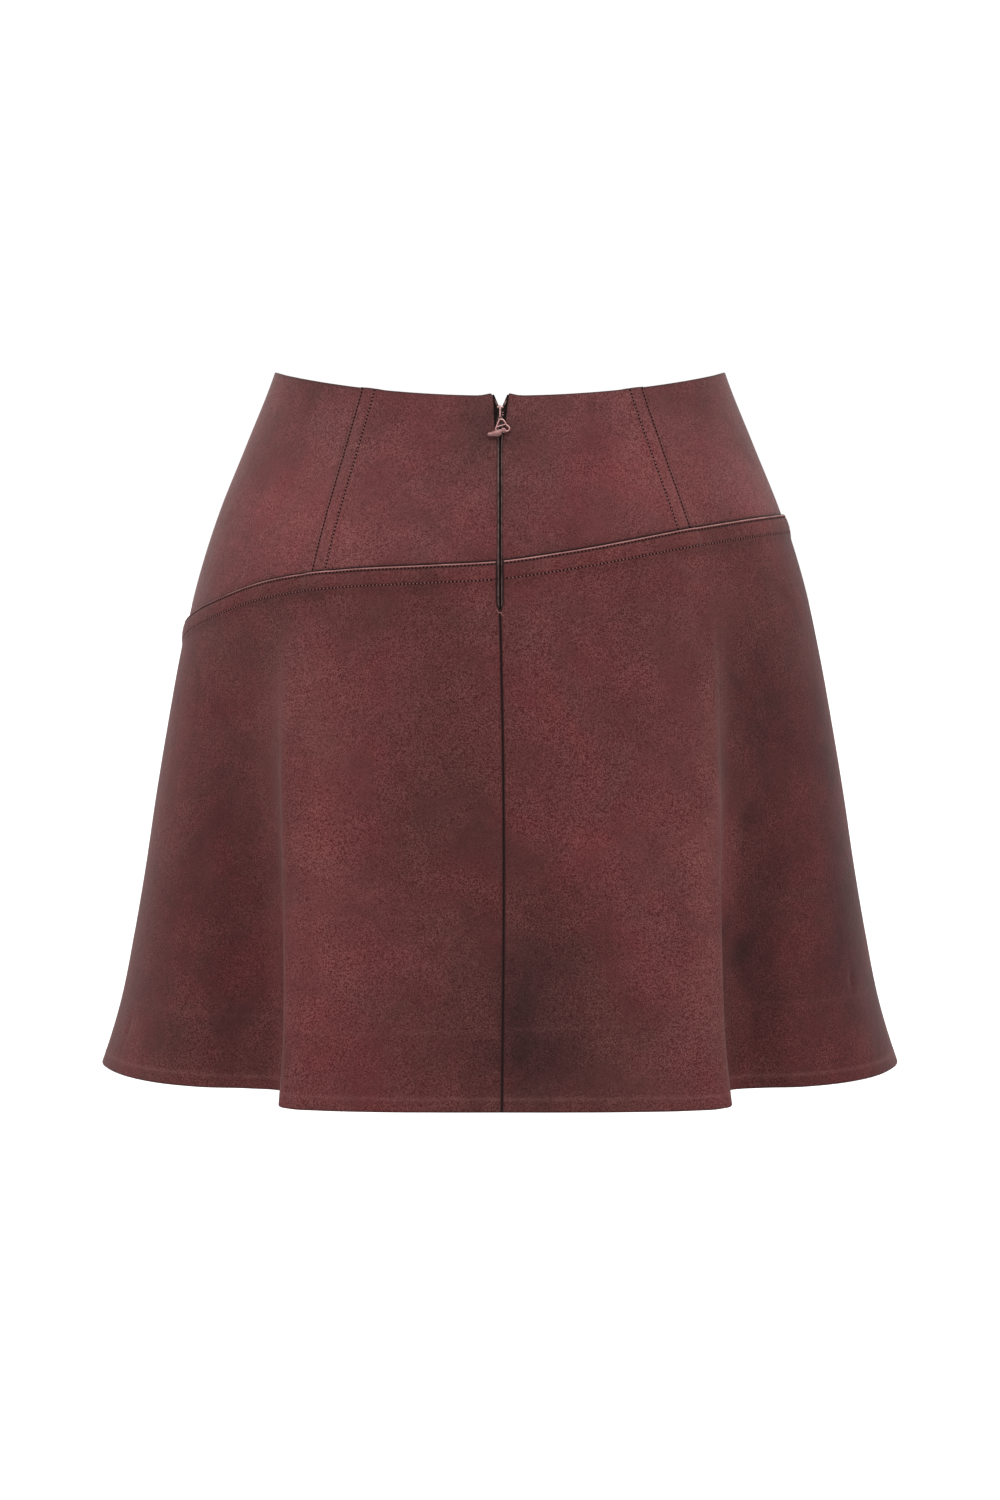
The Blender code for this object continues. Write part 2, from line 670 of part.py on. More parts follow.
def pull_drop(material):
    """A turned drop whose forked head holds the link's eye on a pin. Its origin is the pin's middle."""
    pin_frame = zip_frame(PIVOT_HEIGHT) @ Matrix.Translation((*PIN_PLACE, PULL_OUT))
    pin_frame = pin_frame @ Matrix.Rotation(math.radians(DROP_ANGLE), 4, "Z")
    root = EYE + SEAM_GAP
    profile = (
        # along the drop, radius
        (DROP_LENGTH, 0.0),
        (DROP_LENGTH - 0.5, 0.75),
        (DROP_LENGTH - 1.6, DROP_RADIUS - 0.15),
        (root + 3.6, DROP_RADIUS),
        (root + 1.8, DROP_RADIUS),
        (root + 0.5, 0.85),
        (root - 0.6, 0.55),
        (root - 0.6, 0.0),
    )
    build = bmesh.new()
    line = [build.verts.new((along, 0.0, radius)) for along, radius in profile]
    for low, high in zip(line, line[1:]):
        build.edges.new((low, high))
    drop = placed(link_mesh("pull_drop", build, material), pin_frame)
    turned = drop.modifiers.new("turned", "SCREW")
    turned.axis = "X"
    turned.steps = 14
    turned.render_steps = 14
    turned.use_merge_vertices = True
    turned.merge_threshold = 0.01 * MM
    turned.use_normal_calculate = True

    thick = DROP_RADIUS
    slot = WIRE + SEAM_GAP
    cheeks = cutter("cheeks", solid_disc(CHEEK, -thick, thick), pin_frame)
    bridge = cutter("bridge", solid_box((0.0, -0.5, -thick), (root + 1.4, 0.5, thick)), pin_frame)
    fork = cutter("fork slot", solid_disc(root, -slot, slot, 24), pin_frame)
    pin = cutter("pin", solid_disc(PIN, -thick + 0.2, thick - 0.2, 12), pin_frame)
    combine(drop, cheeks, "UNION")
    combine(drop, bridge, "UNION")
    combine(drop, fork, "DIFFERENCE")
    combine(drop, pin, "UNION")


# ---------------------------------------------------------------- the whole skirt
for old in list(bpy.data.objects):
    bpy.data.objects.remove(old)

PART = bpy.data.collections.new("leather_skirt")
CUTTERS = bpy.data.collections.new("cutters")
for group in (PART, CUTTERS):
    bpy.context.scene.collection.children.link(group)

YOKE_LEATHER = new_material("yoke leather", LEATHER_COLOUR, 0.62)
SKIRT_LEATHER = new_material("skirt leather", LEATHER_COLOUR, 0.62)
TAPE = new_material("zip tape", TAPE_COLOUR, 0.85)
METAL = new_material("painted metal", METAL_COLOUR, 0.35, 0.4)

for side, word in ((-1, "left"), (1, "right")):
    centre_back_yoke(side, "yoke_centre_back_" + word, YOKE_LEATHER)
    side_back_yoke(side, "yoke_side_back_" + word, YOKE_LEATHER)
    zip_tape(side, "zip_tape_" + word, TAPE)
front_yoke(YOKE_LEATHER)
skirt_panel("skirt_back_left", side_edge(-90.0, 1), centre_edge(-1), 34, SKIRT_LEATHER)
skirt_panel("skirt_back_right", centre_edge(1), side_edge(90.0, -1), 34, SKIRT_LEATHER)
skirt_panel("skirt_front", side_edge(90.0, 1), side_edge(270.0, -1), 60, SKIRT_LEATHER)
slider(METAL)
pull_link(METAL)
pull_drop(METAL)
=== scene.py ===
# %% [markdown]
# # A leather mini skirt, filled out as it is worn
#
# The skirt is seen from behind. It has a fitted yoke of five panels, a yoke seam that runs low on the
# wearer's left and high on the right, a concealed zip at the centre back, and a flared lower part that
# drops into two deep folds behind and two in front. Nobody wears it, but it keeps the form of a figure,
# open at the waist and at the hem.
#
# A maker cuts the panels from bonded nubuck leather, laps and topstitches the yoke, turns the skirt's top
# edge under and stitches it down over the yoke, sets the zip behind the centre-back edges and turns up the
# hem. The script follows the same order: sizes, the shape of the cloth, the panels, the sewing, then the
# zip and its pull.
#
# Lengths are in millimetres until a mesh is made. A place on the cloth is a turn round the body in degrees
# (0 is the centre back, 90 the wearer's right side) and a height, which is Z.

# %% Load the frame
import math

import bpy
import numpy as np
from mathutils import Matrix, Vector


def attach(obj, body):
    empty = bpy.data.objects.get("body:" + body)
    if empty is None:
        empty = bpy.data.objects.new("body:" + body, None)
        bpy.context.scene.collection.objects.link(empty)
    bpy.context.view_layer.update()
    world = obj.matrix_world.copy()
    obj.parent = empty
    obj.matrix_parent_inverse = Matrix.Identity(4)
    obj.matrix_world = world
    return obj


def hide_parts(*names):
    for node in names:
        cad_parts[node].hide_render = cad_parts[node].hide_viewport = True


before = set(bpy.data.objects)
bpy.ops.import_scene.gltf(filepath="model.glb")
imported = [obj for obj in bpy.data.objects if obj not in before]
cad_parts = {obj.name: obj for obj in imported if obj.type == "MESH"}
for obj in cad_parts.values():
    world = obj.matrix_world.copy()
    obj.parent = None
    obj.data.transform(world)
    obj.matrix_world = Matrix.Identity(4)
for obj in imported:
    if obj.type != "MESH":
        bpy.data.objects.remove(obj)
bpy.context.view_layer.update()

MM = 0.001
print("nodes in the frame:", len(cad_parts))

# %% [markdown]
# ## The camera
#
# A shop takes this view with a long lens a couple of metres behind the figure, a little above the waist.
# The tilt looks down by five and a half degrees, which is what makes the waist edge dip in the middle. The
# focal length comes from one number, how many millimetres a pixel covers at the skirt's own distance.

# %% The camera
def placed(name, data):
    """A new object that is in the scene."""
    thing = bpy.data.objects.new(name, data)
    bpy.context.scene.collection.objects.link(thing)
    return thing


CAMERA_BACK = 2200.0       # from the skirt's axis
LOOKED_AT = -214.3         # the height in the middle of the image
PIXEL = 0.57               # millimetres a pixel at the axis
IMAGE_HEIGHT = 1500
SENSOR_HEIGHT = 36.0
SENSOR_WIDTH = 24.0

tilt = math.atan2(-LOOKED_AT, CAMERA_BACK)
lens_pixels = CAMERA_BACK / math.cos(tilt) / PIXEL

camera_data = bpy.data.cameras.new("camera")
camera_data.sensor_fit = "VERTICAL"
camera_data.sensor_height = SENSOR_HEIGHT
camera_data.sensor_width = SENSOR_WIDTH
camera_data.lens = lens_pixels * SENSOR_HEIGHT / IMAGE_HEIGHT
camera_data.clip_end = 60.0
camera = placed("camera", camera_data)
camera.location = (0.0, -CAMERA_BACK * MM, 0.0)
camera.rotation_euler = (math.pi / 2 - tilt, 0.0, 0.0)
bpy.context.scene.camera = camera
print("lens", round(camera_data.lens, 1), "mm, tilt", round(math.degrees(tilt), 2), "degrees")

# %% [markdown]
# ## Sizes and tables
#
# These are the sizes that the cloth is cut and folded to. The form's rows are half widths and depths of the
# figure. The seam's rows give its height round the body. The hem's rows lay out the hem as seen from above,
# where its folds are deepest.

# %% Sizes of the cloth and its edges
CLOTH = 1.1
BAND_CLOTH = 1.5       # where the skirt's top edge is pressed double
SEAM_GAP = 0.3         # between two layers
SEAM_SHUT = -0.03      # two sewn edges press into each other by a hair
SETTLE = 5.0           # the length in which cloth comes down from a step
UNDERLAP = 8.0         # of the yoke beneath the skirt's band
SKIRT_LIFT = 0.8       # of the skirt above the form, below its band

HEM_HEIGHT = -394.5
HEM_TURN_UP = 43.0
FOLD_GROWTH = 1.25     # a fold opens a little faster than evenly
WAIST_DIP_BACK = 12.4
WAIST_DIP_FRONT = 21.0
SEAM_SWING = 1.9       # of the centre-back seam to the right

BAND = 9.6             # from the skirt's top edge to its second row of stitches
LAP = 8.8              # and from the yoke's lapped edge
LAP_CLEAR = 0.7
LAP_FOOT = -95.0
LAP_EDGE = {-1: (-35.2, -37.2), 1: (36.3, 40.6)}     # side: its turn at the waist's level and at LAP_FOOT
LAP_SHADOW = 4.0       # the skirt's cloth slopes this far outside a lapped edge beneath it
print("whole turned edge", BAND, "mm, lap", LAP, "mm, hem", HEM_TURN_UP, "mm")

# %% Sizes of the zip's slot
ZIP_SLOT = 1.48        # half its width
ZIP_END = -127.5
SLOT_CLOSES = 4.0
SLOT_SHIFT = -0.1      # the slot lies a little left of the centre
NOTCH_SHIFT = 0.45     # and its notch a little right
LIP_RISE = 1.1         # the waist's two corners beside the zip turn up
LIP_LENGTH = 4.2
LIP_ROUND = 1.2

SLOT_FORM = (
    # below the waist edge, half the slot's width
    (0.0, 4.35),
    (3.8, 3.85),
    (9.2, 3.45),
    (14.7, 2.9),
    (20.0, 2.1),
    (25.0, ZIP_SLOT),
)
print("the slot's notch is", 2 * SLOT_FORM[0][1], "mm wide")

# %% The figure's form
BODY_FORM = (
    # height, half_width, back_depth, front_depth
    (25.0, 119.5, 88.0, 90.0),
    (0.0, 126.9, 94.0, 95.0),
    (-40.0, 142.9, 105.5, 103.5),
    (-80.0, 159.2, 115.5, 110.5),
    (-120.0, 171.9, 121.5, 115.5),
    (-160.0, 180.9, 124.5, 119.0),
    (-200.0, 188.4, 126.0, 121.5),
    (-240.0, 195.3, 127.5, 124.0),
    (-280.0, 201.5, 129.0, 126.5),
    (-320.0, 208.6, 131.0, 129.0),
    (-360.0, 217.0, 133.5, 131.5),
    (HEM_HEIGHT, 227.9, 136.5, 134.0),
    (-420.0, 238.0, 139.0, 137.0),
)
print("form rows", len(BODY_FORM))

# %% The yoke seam
YOKE_SEAM = (
    # turn, height
    (0.0, -100.9),
    (12.0, -96.2),
    (38.0, -85.4),
    (55.0, -81.4),
    (90.0, -80.5),
    (120.0, -84.0),
    (150.0, -93.0),
    (180.0, -106.0),
    (210.0, -121.0),
    (240.0, -134.0),
    (270.0, -141.0),
    (293.0, -127.3),
    (313.0, -112.8),
    (329.0, -106.5),
    (348.0, -103.0),
)
print("seam rows", len(YOKE_SEAM))

# %% The hem from above
HEM_PLAN = (
    # name, turn, x, y
    ("centre back", 0.0, 1.0, -153.0),
    ("back panel", 13.0, 37.0, -153.0),
    ("back panel", 26.0, 73.0, -151.5),
    ("back shoulder, right", 34.5, 102.0, -148.0),
    ("back crest, right", 39.0, 118.5, -142.5),
    ("back crest, right", 41.7, 124.8, -133.5),
    ("back fold, right", 43.8, 120.5, -117.5),
    ("back fold, right", 46.2, 119.5, -101.0),
    ("back valley, right", 50.0, 127.0, -88.0),
    ("side back, right", 56.0, 144.0, -81.5),
    ("side back, right", 64.5, 169.0, -77.5),
    ("side back, right", 71.0, 191.0, -66.0),
    ("side back, right", 78.5, 212.0, -44.0),
    ("side, right", 84.5, 223.5, -20.0),
    ("side, right", 90.0, 227.9, 0.0),
    ("side front, right", 97.0, 225.0, 31.0),
    ("side front, right", 106.0, 211.0, 62.0),
    ("side front, right", 115.0, 189.0, 85.0),
    ("side front, right", 123.0, 162.0, 97.0),
    ("front valley, right", 130.0, 138.5, 100.5),
    ("front fold, right", 135.0, 124.5, 107.0),
    ("front fold, right", 139.0, 119.5, 118.0),
    ("front crest, right", 143.0, 117.0, 129.5),
    ("front shoulder, right", 148.0, 106.5, 137.5),
    ("front panel", 156.0, 84.0, 141.0),
    ("front panel", 167.5, 43.0, 142.0),
    ("centre front", 180.0, 2.0, 143.0),
    ("front panel", 193.0, -39.0, 143.0),
    ("front panel", 203.0, -71.0, 141.5),
    ("front shoulder, left", 208.5, -87.0, 137.0),
    ("front crest, left", 213.0, -96.5, 127.0),
    ("front fold, left", 217.0, -98.5, 112.5),
    ("front valley, left", 222.0, -106.0, 101.5),
    ("side front, left", 229.0, -127.0, 97.5),
    ("side front, left", 237.5, -154.0, 96.5),
    ("side front, left", 246.0, -182.0, 85.0),
    ("side front, left", 255.0, -206.0, 62.0),
    ("side front, left", 263.0, -222.0, 31.0),
    ("side, left", 270.0, -227.9, 0.0),
    ("side, left", 275.5, -223.5, -20.0),
    ("side back, left", 281.5, -212.0, -43.0),
    ("side back, left", 289.0, -191.0, -65.5),
    ("side back, left", 296.0, -167.0, -78.0),
    ("side back, left", 304.5, -140.0, -82.5),
    ("back valley, left", 310.0, -121.5, -89.0),
    ("back fold, left", 313.8, -113.5, -102.0),
    ("back fold, left", 316.2, -114.5, -117.5),
    ("back crest, left", 318.2, -119.0, -133.5),
    ("back crest, left", 321.0, -112.8, -142.5),
    ("back shoulder, left", 325.5, -96.5, -147.5),
    ("back panel", 334.0, -68.0, -151.5),
    ("back panel", 347.0, -34.0, -153.0),
)
print("hem rows", len(HEM_PLAN))

# %% [markdown]
# ## The shape of the cloth
#
# Smooth curves through the tables give the figure's outline at any height and the folds at the hem. A fold
# starts as nothing at the yoke seam and opens towards the hem, a little faster than evenly, because a
# flared panel is cut as part of a ring and its spare length is all at the bottom edge.

# %% Smooth curves
def through(xs, ys, at):
    """The smooth curve through the points (xs, ys), read at the places in at."""
    xs = np.asarray(xs, float)
    ys = np.asarray(ys, float)
    at = np.asarray(at, float)
    step = np.diff(xs)
    rise = np.diff(ys) / step
    slope = np.empty_like(ys)
    slope[0] = rise[0]
    slope[-1] = rise[-1]
    slope[1:-1] = (rise[:-1] * step[1:] + rise[1:] * step[:-1]) / (step[1:] + step[:-1])
    i = np.clip(np.searchsorted(xs, at, side="right") - 1, 0, len(xs) - 2)
    h = step[i]
    t = (at - xs[i]) / h
    start = (2 * t**3 - 3 * t**2 + 1) * ys[i] + (t**3 - 2 * t**2 + t) * h * slope[i]
    end = (3 * t**2 - 2 * t**3) * ys[i + 1] + (t**3 - t**2) * h * slope[i + 1]
    return start + end


def round_the_body(turns, values, turn):
    """The closed smooth curve through values at turns, read at turn."""
    ahead = 4
    turns = list(turns)
    values = list(values)
    xs = [t - 360.0 for t in turns[-ahead:]] + turns + [t + 360.0 for t in turns[:ahead]]
    ys = values[-ahead:] + values + values[:ahead]
    return through(xs, ys, np.mod(turn, 360.0))


def smooth_step(x, low, high):
    """From 0 at low to 1 at high, level at both ends."""
    t = np.clip((np.asarray(x, float) - low) / (high - low), 0.0, 1.0)
    return t * t * (3.0 - 2.0 * t)


def plateau(x, start, full, fading, gone):
    """1 from full to fading, and 0 before start and after gone."""
    return smooth_step(x, start, full) * (1.0 - smooth_step(x, fading, gone))


def streak(distance, width):
    """1 on a line and 0 a few widths from it."""
    return np.exp(-((distance / width) ** 2))


print("a streak has faded to", round(float(streak(2.0, 1.0)), 3), "at two widths")

# %% The form and its folds
def form_size(column, height):
    """A column of the form's table at a height: 1 half width, 2 back depth, 3 front depth."""
    rows = sorted(BODY_FORM)
    return through([r[0] for r in rows], [r[column] for r in rows], height)


def waist_height(turn):
    """The waist's edge, which dips at the back and more in front."""
    c = np.cos(np.radians(turn))
    return -np.where(c > 0, WAIST_DIP_BACK, WAIST_DIP_FRONT) * c * c


def seam_height(turn):
    """The yoke seam, where the skirt's folded top edge lies."""
    return round_the_body([r[0] for r in YOKE_SEAM], [r[1] for r in YOKE_SEAM], turn)


def form_point(turn, height):
    """X and Y on the form itself, which has no folds."""
    angle = np.radians(turn)
    c = np.cos(angle)
    depth = np.where(c > 0, form_size(2, height), form_size(3, height))
    return form_size(1, height) * np.sin(angle), -depth * c


def surface(turn, height):
    """The yoke's outer face and, below the yoke seam, the flared skirt's form with its folds."""
    turn, height = np.broadcast_arrays(np.asarray(turn, float), np.asarray(height, float))
    seam = seam_height(turn)
    share = np.clip((seam - height) / (seam - HEM_HEIGHT), 0.0, None) ** FOLD_GROWTH
    turns = [r[1] for r in HEM_PLAN]
    hem_x = round_the_body(turns, [r[2] for r in HEM_PLAN], turn)
    hem_y = round_the_body(turns, [r[3] for r in HEM_PLAN], turn)
    x, y = form_point(turn, height)
    flat_x, flat_y = form_point(turn, HEM_HEIGHT)
    return np.stack([x + (hem_x - flat_x) * share, y + (hem_y - flat_y) * share, height], axis=-1)


print("waist edge at the centre back", round(float(waist_height(0.0)), 1), "mm")
print("yoke seam at the centre back", round(float(seam_height(0.0)), 1), "mm")

# %% Places on the cloth
SMALL = 0.05           # the step, in degrees or millimetres, for a slope


def outward(turn, height):
    """Unit vectors that point out of the cloth."""
    along = surface(turn + SMALL, height) - surface(turn - SMALL, height)
    up = surface(turn, height + SMALL) - surface(turn, height - SMALL)
    normal = np.cross(along, up)
    return normal / np.linalg.norm(normal, axis=-1, keepdims=True)


def cloth_point(turn, height, raised):
    """A point that stands raised millimetres above the form and its folds."""
    return surface(turn, height) + outward(turn, height) * np.asarray(raised, float)[..., None]


def degree_length(turn, height):
    """Millimetres of cloth in one degree, at turn and height."""
    step = surface(turn + SMALL, height) - surface(turn - SMALL, height)
    return np.linalg.norm(step, axis=-1) / (2 * SMALL)


def turn_beside(turn, height, distance):
    """The turn that lies distance millimetres further round from turn, at height."""
    return turn + distance / degree_length(turn, height)


def signed_turn(turn):
    """The same place as a turn between -180 and 180 degrees."""
    return np.mod(np.asarray(turn, float) + 180.0, 360.0) - 180.0


print("a degree at the centre back is", round(float(degree_length(0.0, HEM_HEIGHT)), 2), "mm of hem")

# %% The edges at the centre back and the waist
def turn_across(distance, height):
    """The turn that lies distance millimetres right of the centre back."""
    return np.degrees(distance / form_size(1, height))


def centre_back_turn(height):
    """The slot's middle, and the centre-back seam, which pulls a little to the right below the zip."""
    share = np.clip((ZIP_END - height) / (ZIP_END - HEM_HEIGHT), 0.0, 1.0)
    slot = smooth_step(height, ZIP_END - 3.0, ZIP_END + 9.0)
    notch = smooth_step(height, -WAIST_DIP_BACK - 17.0, -WAIST_DIP_BACK - 3.0)
    return turn_across(SEAM_SWING * np.sin(np.pi * share) + SLOT_SHIFT * slot + NOTCH_SHIFT * notch, height)


def beside_slot(distance, height):
    """The turn that lies distance millimetres right of the slot's middle."""
    return centre_back_turn(height) + turn_across(distance, height)


def slot_edge(height):
    """Half the width of the zip's slot, which opens into a notch at the waist and closes at its end."""
    below = np.clip(waist_height(0.0) - height, 0.0, SLOT_FORM[-1][0])
    width = through([r[0] for r in SLOT_FORM], [r[1] for r in SLOT_FORM], below)
    opened = smooth_step(height, ZIP_END, ZIP_END + SLOT_CLOSES)
    return SEAM_SHUT / 2 + (width - SEAM_SHUT / 2) * opened


def waist_edge(turn):
    """The waist's edge with its two small lips beside the zip."""
    beside = np.radians(np.abs(signed_turn(turn))) * form_size(1, -WAIST_DIP_BACK)
    away = np.clip(beside - SLOT_FORM[0][1], 0.0, None)
    corner = np.clip(LIP_ROUND - away, 0.0, LIP_ROUND)
    fall = LIP_ROUND - np.sqrt(LIP_ROUND**2 - corner**2)
    return waist_height(turn) + LIP_RISE * streak(away, LIP_LENGTH) - 0.8 * fall


def centre_edge(side):
    """The edge of a panel beside the zip or the centre-back seam."""

    def turn(height):
        return beside_slot(side * slot_edge(height), height)

    return turn


print("the slot is", round(2 * float(slot_edge(-70.0)), 2), "mm wide half way down the zip")

# %% The lapped edges of the yoke
def lap_turn(side, height):
    """The edge of the centre-back yoke panel, which laps over the side-back one."""
    top, foot = LAP_EDGE[side]
    return top + (foot - top) * np.clip(height / LAP_FOOT, 0.0, 1.5)


def inside_lap(side, turn, height):
    """Millimetres from the lapped edge towards the centre back."""
    edge = lap_turn(side, height)
    return (edge - signed_turn(turn)) * side * degree_length(edge, height)


def lap_rise(turn, height, shadow):
    """How far the lapped panel edges stand up, with a slope of length shadow outside the edge."""
    rise = np.zeros(np.broadcast(turn, height).shape)
    for side in LAP_EDGE:
        inside = inside_lap(side, turn, height)
        if shadow > 0:
            up = smooth_step(inside, -shadow, 0.0)
        else:
            up = np.where(inside > -SEAM_GAP, 1.0, 0.0)
        down = 1.0 - smooth_step(inside, LAP + LAP_CLEAR, LAP + LAP_CLEAR + SETTLE)
        rise = np.maximum(rise, up * down * (CLOTH + SEAM_GAP))
    return rise


print("lapped edges stand up by", CLOTH + SEAM_GAP, "mm")

# %% [markdown]
# ## Relief of the sewn cloth
#
# Leather shows how it was handled. A row of stitches pulls a shallow groove, the cloth between two rows
# stays puffed, and a long seam puckers a little because thread is tighter than leather. Each crease is one
# soft trough or ridge, given one by one. Its row gives where its middle is, how far it leans from upright,
# its length and width, and how deep it goes; a ridge has a negative depth.

# %% Creases
CREASES = (
    # name, turn, height, lean, length, width, depth
    ("hem crease", -11.2, -377.0, 4.0, 34.0, 3.8, 0.75),
    ("hem crease", -7.2, -379.0, -6.0, 22.0, 3.2, 0.60),
    ("hem crease", 5.5, -378.0, 3.0, 36.0, 3.6, 0.85),
    ("hem crease", 8.4, -381.0, 7.0, 24.0, 3.0, 0.70),
    ("hem crease", 11.4, -376.0, -3.0, 30.0, 3.8, 0.60),
    ("hem crease", 22.0, -372.0, 8.0, 26.0, 6.0, 0.30),
    ("hem crease", -27.0, -370.0, -5.0, 22.0, 6.5, 0.30),
    ("side trough, right", 55.1, -368.0, 3.0, 56.0, 8.0, 1.2),
    ("hip wrinkle", 50.1, -123.0, 88.0, 24.0, 2.6, 0.75),
    ("hip wrinkle", 47.5, -129.0, 80.0, 17.0, 2.4, 0.55),
    ("hip wrinkle", 54.0, -131.0, 84.0, 15.0, 2.6, 0.40),
    ("dent, right", 77.2, -340.0, 20.0, 10.0, 5.0, 0.7),
    ("hem crease, left", -80.4, -368.0, 8.0, 16.0, 4.0, 0.5),
    ("hem crease, left", -62.0, -371.0, -10.0, 12.0, 4.0, 0.5),
    ("soft fall, left panel", -19.0, -250.0, -3.0, 190.0, 26.0, 0.9),
    ("soft fall, right panel", 22.0, -235.0, 4.0, 160.0, 24.0, -0.8),
    ("hip pull, left", -60.0, -168.0, 62.0, 34.0, 7.0, 0.45),
    ("hip pull, right", 66.0, -122.0, -58.0, 30.0, 6.5, 0.45),
    ("yoke ripple, left", -70.0, -84.0, 70.0, 26.0, 7.0, 0.35),
    ("yoke ripple, right", 72.0, -52.0, -66.0, 24.0, 6.5, 0.30),
    ("front hem crease", 158.0, -372.0, -4.0, 30.0, 4.6, 0.50),
    ("front hem crease", 166.5, -379.0, 6.0, 22.0, 3.8, 0.40),
    ("front hem crease", 189.0, -374.0, 3.0, 36.0, 5.0, 0.50),
    ("front hem crease", 199.0, -378.0, -7.0, 20.0, 3.6, 0.35),
    ("front trough, right", 126.0, -352.0, -5.0, 60.0, 9.0, 1.1),
    ("front trough, left", 228.0, -360.0, 6.0, 50.0, 8.0, 1.0),
    ("front hip wrinkle", 140.0, -112.0, 84.0, 26.0, 3.2, 0.40),
    ("front hip wrinkle", 134.0, -120.0, 78.0, 18.0, 2.8, 0.30),
    ("front hip wrinkle", 231.0, -150.0, 96.0, 24.0, 3.4, 0.40),
    ("front yoke ripple", 160.0, -62.0, 82.0, 60.0, 9.0, 0.45),
    ("front yoke ripple", 205.0, -74.0, 98.0, 52.0, 8.0, 0.45),
    ("front yoke ripple", 178.0, -48.0, 92.0, 44.0, 7.0, 0.30),
    ("soft fall, front", 172.0, -260.0, 3.0, 180.0, 28.0, 0.9),
    ("soft fall, side", 98.0, -270.0, 6.0, 150.0, 24.0, 1.0),
    ("soft fall, side", 258.0, -290.0, -5.0, 140.0, 22.0, 1.0),
)


def crease_relief(turn, height):
    """Height of the listed troughs and ridges, in millimetres."""
    total = np.zeros(np.broadcast(turn, height).shape)
    for _, at_turn, at_height, lean, length, width, depth in CREASES:
        scale = float(degree_length(at_turn, at_height))
        across = signed_turn(np.asarray(turn) - at_turn) * scale
        along = height - at_height
        c = math.cos(math.radians(lean))
        s = math.sin(math.radians(lean))
        u = along * c + across * s
        v = across * c - along * s
        total = total - depth * np.exp(-((2.0 * u / length) ** 2) - (2.0 * v / width) ** 2)
    return total


print("creases placed by hand:", len(CREASES))

# %% Grooves and puckers beside the stitches
STITCH_IN = 1.25       # the first row of stitches inside a turned edge
GROOVE_DEEP = 0.22
GROOVE_WIDE = 0.75
PUFF_HIGH = 0.30       # the cloth between two rows
PUCKER_HIGH = 0.11
PUCKER_WAVES = ((0.61, 0.0), (0.43, 1.7), (0.27, 4.1), (0.97, 2.6))     # radians a millimetre, and a start


def pucker(along, seed):
    """Uneven small waves along a seam, between -1 and 1."""
    waves = [np.sin(along * rate + start + seed * 1.9) for rate, start in PUCKER_WAVES]
    return sum(waves) / len(waves)


def stitched_relief(inside, second, along, seed):
    """Relief beside a turned edge: two grooves with the cloth puffed between them."""
    grooves = streak(inside - STITCH_IN, GROOVE_WIDE) + streak(inside - second, GROOVE_WIDE)
    between = plateau(inside, STITCH_IN, STITCH_IN + 3.0, second - 3.0, second)
    near = plateau(inside, -4.0, 0.0, second + 1.0, second + 9.0)
    return PUFF_HIGH * between - GROOVE_DEEP * grooves + PUCKER_HIGH * pucker(along, seed) * near


print("stitch grooves", GROOVE_DEEP, "mm deep,", STITCH_IN, "mm inside the edge")

# %% [markdown]
# ## A small language for materials
#
# The leather is worked out by noise at several sizes, so its material is mostly sums and products. A small
# class wraps a socket, so that they can be written as sums and products, and one method adds any other
# node. The tree that sews the stitches and the sky's are written in it too.

# %% A socket as a value
class Value:
    """A socket that can be added, multiplied and so on."""

    def __init__(self, graph, socket):
        self.graph = graph
        self.socket = socket

    def maths(self, operation, *others):
        node = self.graph.tree.nodes.new("ShaderNodeMath")
        node.operation = operation
        for slot, value in zip(node.inputs, (self, *others)):
            self.graph.feed(slot, value)
        return Value(self.graph, node.outputs[0])

    def __add__(self, other):
        return self.maths("ADD", other)

    __radd__ = __add__

    def __mul__(self, other):
        return self.maths("MULTIPLY", other)

    __rmul__ = __mul__

    def __sub__(self, other):
        return self.maths("SUBTRACT", other)

    def __rsub__(self, other):
        return self.maths("MULTIPLY", -1.0).maths("ADD", other)

    def held(self, low=0.0, high=1.0):
        """The value kept between low and high."""
        return self.maths("MAXIMUM", low).maths("MINIMUM", high)

    def spread(self, low, high):
        """0 at low and 1 at high, level at both ends."""
        settings = {"interpolation_type": "SMOOTHSTEP"}
        return self.graph.add("ShaderNodeMapRange", settings, Value=self, From_Min=low, From_Max=high)


print("reflected operators:", ", ".join(name for name in vars(Value) if name.startswith("__r")))

# %% Node trees, for materials and for geometry
class Graph:
    """A node tree that is written as calls and expressions."""

    def __init__(self, tree):
        self.tree = tree

    def feed(self, slot, value):
        """Give a socket a link, a colour or a plain value."""
        if isinstance(value, Value):
            self.tree.links.new(value.socket, slot)
        elif isinstance(value, tuple) and slot.type == "RGBA" and len(value) == 3:
            slot.default_value = (*value, 1.0)
        else:
            slot.default_value = value

    def add(self, kind, settings=None, output=0, **sockets):
        """Any node. A socket's name is written with _ for a space."""
        node = self.tree.nodes.new(kind)
        for key, value in (settings or {}).items():
            setattr(node, key, value)
        for key, value in sockets.items():
            self.feed(node.inputs[key.replace("_", " ")], value)
        return Value(self, node.outputs[output])


